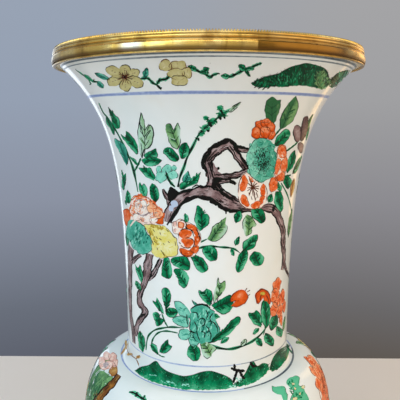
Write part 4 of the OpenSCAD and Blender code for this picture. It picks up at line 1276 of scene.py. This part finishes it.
rootBorder = {
    "moundLeft": ([(135, 371), (141, 367), (149, 365), (156, 361), (161, 367), (167, 371), (175, 374), (184, 376),
      (192, 375), (202, 372), (210, 371), (218, 373), (226, 376), (232, 380)], [(136, 372), (141, 376), (148, 380),
      (156, 383), (167, 386), (180, 389), (194, 390), (206, 390), (216, 390), (226, 389), (234, 387)]),
    "moundRight": ([(235, 383), (241, 379), (246, 372), (250, 364), (253, 361), (257, 366), (263, 363), (268, 364)],
      [(236, 387), (242, 386), (248, 385), (255, 382), (260, 379), (265, 375), (269, 369)]),
    "crescent": ([(270, 369), (271, 363), (274, 356), (279, 350), (284, 347), (288, 344)],
      [(272, 372), (278, 369), (283, 364), (287, 358), (289, 352), (289, 346)]),
    "bird": [[(231, 368), (236, 370), (245, 371)], [(237, 371), (235, 377), (233, 383)],
      [(240, 371), (242, 376), (245, 379)], [(235, 368), (234, 364)], [(250, 362), (253, 366), (257, 366)]],
    "glints": [(165, 382, 4, 1.6), (172, 384, 3, 1.4), (186, 385, 3.4, 1.2), (153, 376, 3, 1.2), (233, 386, 3, 1.4),
      (238, 379, 2.4, 2)],
    "sprig": [[(139, 366), (136, 359), (132, 356), (128, 352), (126, 344)], [(136, 359), (140, 355)],
      [(133, 356), (132, 353)], [(137, 360), (139, 365)]],
    "tinyFlowers": [(126, 345, 1.2, 4.6), (130, 354, 2.6, 1.4), (138, 357, 2.4, 1.6)],
}
shoulderMarks = {
    "salmon": [(102, 362, 3.6, 5.6), (107, 356, 4.4, 4.4), (113, 357, 4, 4.4), (115, 363, 3, 4.4), (105, 367, 4.4, 3),
      (110, 365, 5, 4.4)],
    "mauve": [(103, 364), (106, 362), (109, 364), (107, 367), (104, 368)],
    "ochre": [(109, 371), (113, 366), (117, 367), (117, 373), (112, 376)],
    "wing": [(113, 377, True), (106, 373), (100, 371), (96, 376), (93, 383), (91, 391), (89, 399), (89, 408), (93, 411),
      (98, 402), (103, 393), (109, 385)],
    "stripe": [(119, 375, 4), (113, 383, 6), (105, 391, 7), (98, 400, 7), (94, 408, 7)],
    "twig": [[(129, 392), (134, 393), (140, 397), (148, 402)], [(137, 392), (136, 397)], [(145, 395), (143, 400)]],
    "scroll": [(287, 384), (289, 378), (294, 376), (299, 377), (298, 382), (300, 386), (305, 385), (304, 390),
      (307, 395), (308, 402), (292, 404), (292, 396), (293, 390)],
    "leafTurn": [(272, 386, True), (276, 387), (282, 386), (285, 390), (287, 396), (287, 403), (284, 402), (282, 396),
      (277, 394), (273, 391)],
    "holes": [(293, 384, 1.4, 1.2), (295, 389, 1.2, 1.6), (303, 387, 1.6, 1.6), (295, 399, 2.4, 2), (300, 394, 1, 1.4)],
}


def blossom(middle, petals, layer=2.0):  # pale yellow, with dark outlines and a dark heart
    for k, (tip, width) in enumerate(petals):
        way = np.array(tip) - middle
        petal(*(middle + way * 0.58), np.linalg.norm(way) * 0.44, width * 0.54, "straw", layer + 0.25 * (k % 3), 0.42,
            0.62, atan2(way[1], way[0]), 0.44, 0.04, 0.05)
        for f in (0.55, 0.7):
            p = middle + way * f
            line([p + [-0.8, 0.2], p + [0.8, -0.2]], 0.4, layer + 1.9, 1.0)
    reach = np.linalg.norm(np.array(petals[0][0]) - middle) * 0.42
    stamens(*middle, reach, reach, 16, layer + 2.2, 0.97, 0.40, 0.02)
    petal(*middle, 1.5, 1.3, "ink", layer + 2.4, 0.0, 0.0, border=0)


def paintBorders():
    blossom(*rimBorder["blossomOne"])
    for k, spot in enumerate(rimBorder["blossomTwo"]):
        petal(*spot, "straw", 2.0 + 0.6 * k, 0.34, 0.56, border=0.44, borderTone=0.95 if k != 4 else 0.0, streaks=2)
    for path in rimBorder["twigs"]:
        line(path, 2.2, 1.2, 0.15, "green")
        line(path, 1.25, 1.5, 0.1)
        for _ in range(4):
            x, y = pick(path)
            line([(x, y), (x + roll(-1.6, 1.6), y + roll(-2, 2))], 0.8, 1.5, 0.12)
    for kind, outline in rimBorder["leaves"]:
        leaf(kind, outline)
    mound(*rimBorder["mound"], 0.0, 0.92, 760, 0.14, fan=1.9, pale=(0.30, 0.70))
    mound(*rimBorder["moundBrown"], 0.5, 0.50, 110, 0.1, "lime", pale=(0.4, 0.8))
    mound(*rimBorder["moundEdge"], 0.0, 0.8, 50, 0.1)
    for x, y in rimBorder["spikes"]:
        line([(x + 6, y - 7), (x + 2.4, y - 2), (x, y)], 0.8, 1.2, 0.2, ends=(0.3, 0.2))
    mound(*rootBorder["moundLeft"], 0.0, 0.72, 300, 0.30, long=(1.2, 2.8), pale=(0.15, 0.4))
    mound(*rootBorder["moundRight"], 0.0, 0.74, 120, 0.30, long=(1.2, 2.8), pale=(0.15, 0.4))
    mound(*rootBorder["crescent"], 0.0, 0.82, 60, 0.2, long=(1.2, 2.6), pale=(0.15, 0.4))
    # painted highlights: pale turquoise dabs on the mounds, standing for glints of light
    for x, y, rx, ry in rootBorder["glints"]:
        dabs([(x - rx, y - ry * 0.4), (x + rx, y + ry * 0.4)], "turquoise", 1.2, (0.5, 1.2), (1.4, 2.6), (-0.1, 0.3),
            0.4, ry)
    lines(rootBorder["bird"], 1.9, 1.7, 0.0, ends=(0.5, 0.3))
    lines(rootBorder["sprig"], 0.7, 1.6, 0.8, "ochre")
    for spot in rootBorder["tinyFlowers"]:
        petal(*spot, "ochre", 1.4, 0.4, 0.2, border=0)
    print("  borders painted")


def paintShoulder():
    fill("lime", shoulderMarks["wing"], 0.2, 0.96, 0.92, 0, shade=lambda p: np.clip((97 - p[:, 0]) / 22, -0.25, 0.3))
    dabs([(107, 378), (101, 386), (97, 394), (94, 402)], "lime", 0.6, (0.7, 1.4), (4.0, 7.0), (0.5, 1.2), 0.25, 4.0,
        0.8)
    for spot in shoulderMarks["salmon"]:
        petal(*spot, "blush", 0.5 + roll(0, 0.4), 0.60, 0.95, 0.0, 0.22, 0.95, 0.08, 3)
    fill("aubergine", shoulderMarks["mauve"], 0.8, -0.1, 0.2, 0)
    fill("ochre", shoulderMarks["ochre"], 0.8, 0.3, 0.6, 0.3, 0.8)
    limb(shoulderMarks["stripe"], "ochre", 1.0, 0.75, (0.9, 1.2))
    for path in shoulderMarks["twig"]:
        line(path, 2.6, 0.6, 0.0, "green")
        line(path, 1.3, 1.2, 0.1)
    for name in ("scroll", "leafTurn"):
        fill("green", shoulderMarks[name], 0.2, -0.10, 0.06, 0.3, 0.5, shake=0.4, share=0.6)
    dabs([(290, 381), (293, 388), (296, 396), (303, 394)], "green", 0.8, (0.8, 1.6), (1.6, 3.0), (0.30, 0.75), 1.0, 3.0,
        0.7)
    for spot in shoulderMarks["holes"]:
        petal(*spot, "straw", 1.6, -0.3, 0.0, border=0.3, borderTone=0.5)
    print("  shoulder painted")


# The body, which the photograph doesn't show: flowering plants that rise from mossy ground, in millimetres
plant = {
    "limbs": [([(-2, 232, 10), (0, 206, 9), (5, 184, 8), (-4, 160, 7), (4, 132, 6), (-2, 106, 5), (5, 84, 4),
      (4, 66, 3)], (1.2, 0.9)), ([(2, 140, 5), (14, 126, 4.4), (23, 110, 3.6), (28, 92, 2.6)], (0.9, 0.7)),
      ([(-2, 164, 5), (-15, 150, 4.4), (-24, 132, 3.6), (-28, 112, 2.6)], (0.9, 0.7)),
      ([(0, 112, 3.6), (-9, 98, 3), (-16, 82, 2.2)], (0.7, 0.6))],
    "twigs": [[(4, 66), (8, 54), (6, 44)], [(28, 92), (33, 82), (32, 74)], [(-28, 112), (-34, 102), (-33, 93)],
      [(-16, 82), (-21, 70), (-20, 60)], [(14, 126), (24, 128), (30, 134)], [(3, 188), (14, 180), (20, 170)],
      [(0, 176), (-12, 178), (-19, 171)]],
    "blooms": [(8, 50, 16, 15), (33, 78, 13, 13), (-33, 98, 14, 13), (-21, 62, 10, 9.4), (29, 134, 10, 9.4),
      (20, 170, 8, 7.6), (-20, 170, 7.4, 7)],
    "leafEvery": 9.0,
}
plants = [row.split() for row in (
    "red turquoise yellow blush aubergine red yellow",
    "turquoise yellow red yellow red blush turquoise",
    "yellow red turquoise red blush turquoise aubergine",
    "aubergine red yellow turquoise red yellow blush",
    "red yellow turquoise blush turquoise red yellow",
    "turquoise red aubergine yellow red blush turquoise",
)]


def bodyBloom(x, y, rx, ry, colour, layer, leaves=7):
    for k in range(leaves):  # leaves that show from behind it
        a = 2 * pi * (k + roll(-0.25, 0.25)) / leaves
        root, tip = ((x + (rx * 0.7 + far) * cos(a), y + (ry * 0.7 + far) * sin(a)) for far in (0.0, roll(10, 14)))
        leaf(pick(("deep", "deep", "mid", "lime", "fresh")), (root, tip, roll(6, 8.5)), layer - 1.6)
    if colour in ("turquoise", "yellow"):
        pompon(ellipse(x, y, rx, ry, 0, 0.05, 3), (x, y), colour, layer, 0.42 if colour == "turquoise" else 0.95)
        return
    base = "red" if colour == "blush" else colour
    fill("blush", ellipse(x, y, rx, ry, 0, 0.05, 5), layer, 0.10, 0.35, 0.34, 1.0)
    for depth, (part, around, size) in enumerate(((0.72, 9, 0.40), (0.42, 6, 0.36), (0.12, 3, 0.30))):
        for k in range(around):
            a = 2 * pi * (k + 0.5 * depth + roll(-0.2, 0.2)) / around
            deep = (0.0 if colour == "blush" and depth < 2 else 0.52) + roll(-0.08, 0.1)
            petal(x + rx * part * cos(a), y + ry * part * sin(a), rx * size, ry * size * 0.8, base, layer + 0.5 + 0.5
                * depth, deep, deep - 0.42, a + 1.57, 0.34, 1.0 if base == "red" else 0.0, 0.10, 2)
    curls(x, y, rx * 0.6, ry * 0.6, 7, layer + 3.0, 1.0, 0.34)


def paintPlant(colours, hand, low):
    flip = lambda points: [(hand * p[0], min(p[1] + low, 213), *p[2:]) for p in points]  # a trunk ends in its ground
    for path, edges in plant["limbs"]:
        limb(flip(path), edges=edges)
    for path in plant["twigs"]:
        line(flip(path), 1.8, 0.8, 0.3, "green")
        line(flip(path), 1.0, 1.4, 0.1)
    for path in [p for p, _ in plant["limbs"]] + plant["twigs"]:
        spine = curve(flip(path), step=plant["leafEvery"])[:, :2]
        for k, (p, q) in enumerate(zip(spine[:-1], spine[1:])):
            way = (q - p) / max(np.linalg.norm(q - p), 1e-6)
            side = np.array([-way[1], way[0]]) * (1 if k % 2 else -1)
            if dice.random() < 0.85 and p[1] < 204:
                root = p + side * 2.5
                reach = (way * roll(0.2, 0.9) + side * roll(0.6, 1.0)) * roll(10, 15)
                leaf(pick(("deep", "deep", "mid", "mid", "lime", "soft", "fresh")),
                    (root, root + reach, roll(5.6, 8.4)), 2.0 + 0.3 * (k % 3))
    for (x, y, rx, ry), colour in zip(plant["blooms"], colours):
        bodyBloom(hand * x, y + low, rx, ry, colour, 4.2)


def paintGround(wide, layer=0.0):
    top = [(-wide, 214), (-wide * 0.7, 204), (-wide * 0.4, 198), (-wide * 0.1, 203), (wide * 0.25, 195),
        (wide * 0.6, 200), (wide * 0.85, 207), (wide, 214)]
    mound(top, [(-wide, 217), (-wide * 0.3, 219), (wide * 0.3, 219), (wide, 217)], layer, 0.6, int(wide * 5.3), 0.3,
        long=(2.5, 5), fan=1.2)


def paintFoot():
    fill("green", [(0, 258, True), (-9, 250), (-10.4, 240), (-8, 233), (0, 231), (8, 233), (10.4, 240), (9, 250)], 0.0,
        0.42, 0.60, 0.5, 0.1)
    fill("yellow", [(0, 252, True), (-5, 247), (-6, 241), (-4, 237), (0, 236), (4, 237), (6, 241), (5, 247)], 0.8, 0.2,
        0.5, 0.4, 0.0)
    petal(0, 243, 2.6, 3.2, "red", 1.8, 0.4, 0.7, border=0.34, streaks=2)
    leaf("deep", ((13.6, 252), (13.6, 236), 4.6))


front = photoCanvas(0.0, 1)
brush["area"], brush["canvas"] = "neckFront", front
paintNeck(1, {})
brush["area"] = "borderFront"
paintBorders()
paintShoulder()
brush["area"], brush["canvas"] = "neckBack", photoCanvas(pi, -1)
paintNeck(-1, {"turquoise": "red", "red": "yellow", "yellow": "turquoise"})
brush["area"] = "borderBack"
paintBorders()
print("neck painted")

rootRun = float(wareRun[len(underNeck) - 1])
brush["step"] = 2.4
rimRun = float(photoSpot([(207, 76)])[1][0])
for hand in (-1, 1):  # what fills the sides, between the front and the back
    brush["area"] = "sideLeft" if hand < 0 else "sideRight"
    brush["canvas"] = sheetCanvas(hand * pi / 2, rimRun)
    blossom((0, 0), [((8 * cos(a), 7 * sin(a)), 8) for a in (0.3, 1.56, 2.8, 4.1, 5.3)])
    for way in (-1, 1):
        line([(9 * way, 1), (14 * way, 3), (19 * way, 0)], 1.2, 1.5, 0.1)
        leaf("fresh", ((10 * way, 1), (15 * way, -5), 4.4))
    brush["canvas"] = sheetCanvas(hand * pi / 2, float(photoSpot([(207, 100)])[1][0]))
    for low, high, kinds in ((150, 20, ("deep", "mid", "lime")), (178, 96, ("mid", "deep", "fresh"))):
        stem = [(-3 + roll(-2, 2), low), (2, low - (low - high) * 0.35), (-2, low - (low - high) * 0.7), (1, high)]
        line(stem, 2.0, 1.2, 0.25, "green")
        line(stem, 1.1, 1.6, 0.1)
        for k, (x, y) in enumerate(curve(stem, step=9)[1:-1]):
            turn = 1 if k % 2 else -1
            leaf(pick(kinds), ((x, y), (x + turn * roll(5, 8), y - roll(5, 10)), roll(4, 5.6)))
    bodyBloom(0, 60, 8, 8, "red" if hand < 0 else "yellow", 4.2)

angleLeft, runLeft = (float(v[0]) for v in front([(95, 399)]))
angleRight, runRight = (float(v[0]) for v in front([(315.4, 386)]))
brush["area"] = "bodyFront"
edgeBloom = {"x": 17, "y": 6, "wide": 13, "tall": 23, "lean": radians(40)}
sheet, c, s = sheetCanvas(angleRight, runRight), cos(edgeBloom["lean"]), sin(edgeBloom["lean"])
brush["canvas"] = lambda points: sheet(np.asarray(points, float) @ [[c, s], [-s, c]] + [edgeBloom["x"], edgeBloom["y"]])
bodyBloom(0, 0, edgeBloom["wide"], edgeBloom["tall"], "red", 2.4, 0)
brush["canvas"] = sheetCanvas(angleLeft, runLeft)  # the green behind the left limb goes on round the side
fill("lime", [(-1, -20), (-8, -27), (-17, -27), (-25, -18), (-28, -2), (-25, 14), (-16, 24), (-7, 20), (-3, 6)], 0.0,
    0.94, 0.90, 0.4, 0.2, shade=lambda p: np.clip((p[:, 1] + 4) / 60, -0.2, 0.2))
for _ in range(44):
    x, y = roll(-26, -5), roll(-20, 16)
    line([(x, y), (x - 1.6, y + 3), (x - 2.6, y + roll(5, 9))], roll(0.5, 1.1), 0.5, roll(0.5, 1.2), "lime")
limb([(2, -4, 10), (-2, 12, 11), (3, 30, 10), (-3, 50, 9), (2, 76, 8), (-1, 104, 8), (3, 136, 9), (1, 164, 12)],
    "ochre", 0.2, 0.7, (1.2, 1.0))
for turn, wide in ((angleLeft, 18), (1.16, 14)):
    brush["canvas"] = sheetCanvas(turn, rootRun)
    paintGround(wide, 0.4)
for k, (turn, hand, low) in enumerate(((-0.30, 1, 4), (0.55, -1, 0), (1.75, 1, -14), (2.72, -1, -18), (3.70, 1, -16),
        (4.62, -1, -8))):
    brush["area"] = "body" + ("FrontLeft", "FrontRight", "Right", "BackRight", "BackLeft", "Left")[k]
    brush["canvas"] = sheetCanvas(turn, rootRun)
    paintPlant(plants[k], hand, low)
    paintGround(32)
brush["area"] = "foot"
for k in range(14):
    brush["canvas"] = sheetCanvas(2 * pi * k / 14, rootRun)
    paintFoot()
print("body painted")

# Blue lines, the first of them, just beneath the collar, darkened into a painted shadow of the collar's overhang: where
# each crosses the front of the photograph, or how far below the root it runs, then height and tone
brush["area"] = "rings"
for row, tall, tone, colour in ((52.0, 0.0016, 0.80, "slate"), (56.1, 0.0010, 0.52, "slate"),
        (92.3, 0.0021, 0.62, "blue"), (366.8, 0.0009, 0.35, "blue"), (392.2, 0.0013, 0.55, "blue")):
    band(float(photoSpot([(207.1, row)])[1][0]), tall, tone, colour)
for row, tall, tone in ((366.8, 0.0009, 0.45), (392.2, 0.0014, 0.95)):  # both are greyer on the right
    band(float(photoSpot([(207.1, row)])[1][0]), tall, tone, "slate", 0.5, sweep=(0.38, 1.6))
for down, tall, tone in ((222.0, 0.0016, 0.6), (225.5, 0.0008, 0.5), (261.0, 0.0016, 0.6)):
    band(rootRun - down / 1000, tall, tone)


def mesh(name, store, material, slot):  # one thin closed piece from all the marks of an enamel
    data = bpy.data.meshes.new(name)
    data.from_pydata(np.concatenate(store["spots"]).tolist(), [], store["faces"])
    data.attributes.new("tone", "FLOAT", "POINT").data.foreach_set("value",
        np.concatenate(store["tones"]).astype(np.float32))
    piece = bpy.data.objects.new(name, data)
    bpy.context.scene.collection.objects.link(piece)
    bpy.ops.object.select_all(action="DESELECT")
    piece.select_set(True)
    bpy.context.view_layer.objects.active = piece
    thick = piece.modifiers.new("body", "SOLIDIFY")
    thick.thickness, thick.offset = brush["thick"], -1.0
    bpy.ops.object.modifier_apply(modifier=thick.name)
    bpy.ops.object.shade_smooth_by_angle(angle=radians(40))
    dress(piece, material, slot)
    return sum(len(f.vertices) - 2 for f in piece.data.polygons)


dyes = {colour: enamelFinish(colour + "Enamel", look) for colour, look in enamels.items()}
total = sum(mesh(area + colour.capitalize(), store, dyes[colour], enamels[colour][0])
    for (area, colour), store in sorted(marks.items()))
print("painting made: %d triangles" % total)

# Stage: pale table, soft grey behind it, soft lamps, cooler on the left and warmer on the right
stage = {"floor": hue(228, 220, 213), "floorPale": hue(235, 229, 222), "ambient": 0.40, "low": -0.42, "high": 0.20,
    "half": 1.3, "back": 0.465, "front": -1.4, "aim": 0.28,
    "left": ((0.0, hue(93, 97, 109)), (1.0, hue(152, 163, 180)), (0.14, hue(105, 111, 123)),
      (0.44, hue(139, 146, 162)), (0.74, hue(149, 160, 178))),
    "right": ((0.0, hue(94, 87, 81)), (1.0, hue(164, 164, 166)), (0.14, hue(106, 104, 105)),
      (0.44, hue(140, 139, 144)), (0.74, hue(160, 160, 162)))}
bpy.ops.object.select_all(action="DESELECT")
bpy.ops.mesh.primitive_plane_add(size=1.0)
floor = bpy.context.object
floor.name = "tableTop"
for corner in floor.data.vertices:
    corner.co = (copysign(stage["half"], corner.co.x), stage["back" if corner.co.y > 0 else "front"], 0.0)
kit = Finish("paleTable")
weave = kit.noise(900.0, 2.0)
floor.data.materials.append(kit.coat({"Base Color": kit.mix(kit.noise(6.0, 3.0), stage["floor"], stage["floorPale"]),
    "Roughness": 0.6 + 0.1 * weave, "Normal": kit.bump(weave, 0.0004, 0.3)}))

world = bpy.data.worlds.new("softRoom")
bpy.context.scene.world = world
room = Finish("softRoom", world)
room.tree.nodes.clear()
toward = room.add("TexCoord", out=0)
height = (room.add("SeparateXYZ", None, {0: toward}, 2) - stage["low"]) / (stage["high"] - stage["low"])
aside = room.step(room.add("SeparateXYZ", None, {0: toward}, 0), -0.3, 0.3)
wall = room.mix(aside, room.ramp(height, stage["left"]), room.ramp(height, stage["right"]))
seen = 0.0
for ray in ("Is Camera Ray", "Is Glossy Ray", "Is Transmission Ray"):
    seen = room.add("Math", {"operation": "MAXIMUM"}, {0: seen, 1: room.add("LightPath", out=ray)})
shown = room.add("Background", None, {"Color": wall, "Strength": 1.0})
soft = room.add("Background", None, {"Color": hue(242, 245, 250), "Strength": stage["ambient"]})
both = room.add("MixShader", None, {0: seen, 1: soft, 2: shown})
room.tree.links.new(both.socket, room.tree.nodes.new("ShaderNodeOutputWorld").inputs["Surface"])

# Place, width and height, watts and colour
lamps = {
    "key": ((-0.95, -0.95, 1.05), (1.0, 1.1), 9.6, hue(208, 236, 253)),
    "fill": ((1.3, -0.45, 0.8), (1.5, 1.4), 9.0, hue(255, 218, 164)),
    "front": ((-0.35, -1.5, 0.95), (1.3, 0.8), 1.5, hue(248, 250, 252)),
    "leftStrip": ((-0.62, 0.95, 0.42), (0.18, 1.0), 0.95, hue(236, 246, 255)),
    "rightStrip": ((0.83, 0.80, 0.50), (0.26, 0.9), 1.3, hue(255, 208, 136)),
    "top": ((0.0, -0.75, 1.45), (1.2, 1.0), 7.2, hue(245, 250, 254)),
}
for name, (spot, size, watts, colour) in lamps.items():
    bpy.ops.object.light_add(type="AREA", location=spot)
    lamp = bpy.context.object
    lamp.name = name + "Lamp"
    lamp.data.shape, lamp.data.size, lamp.data.size_y = "RECTANGLE", *size
    lamp.data.energy, lamp.data.color = watts, colour[:3]
    lamp.rotation_euler = (Vector((0, 0, stage["aim"])) - Vector(spot)).to_track_quat("-Z", "Y").to_euler()
    lamp.visible_camera = False
print("stage set")
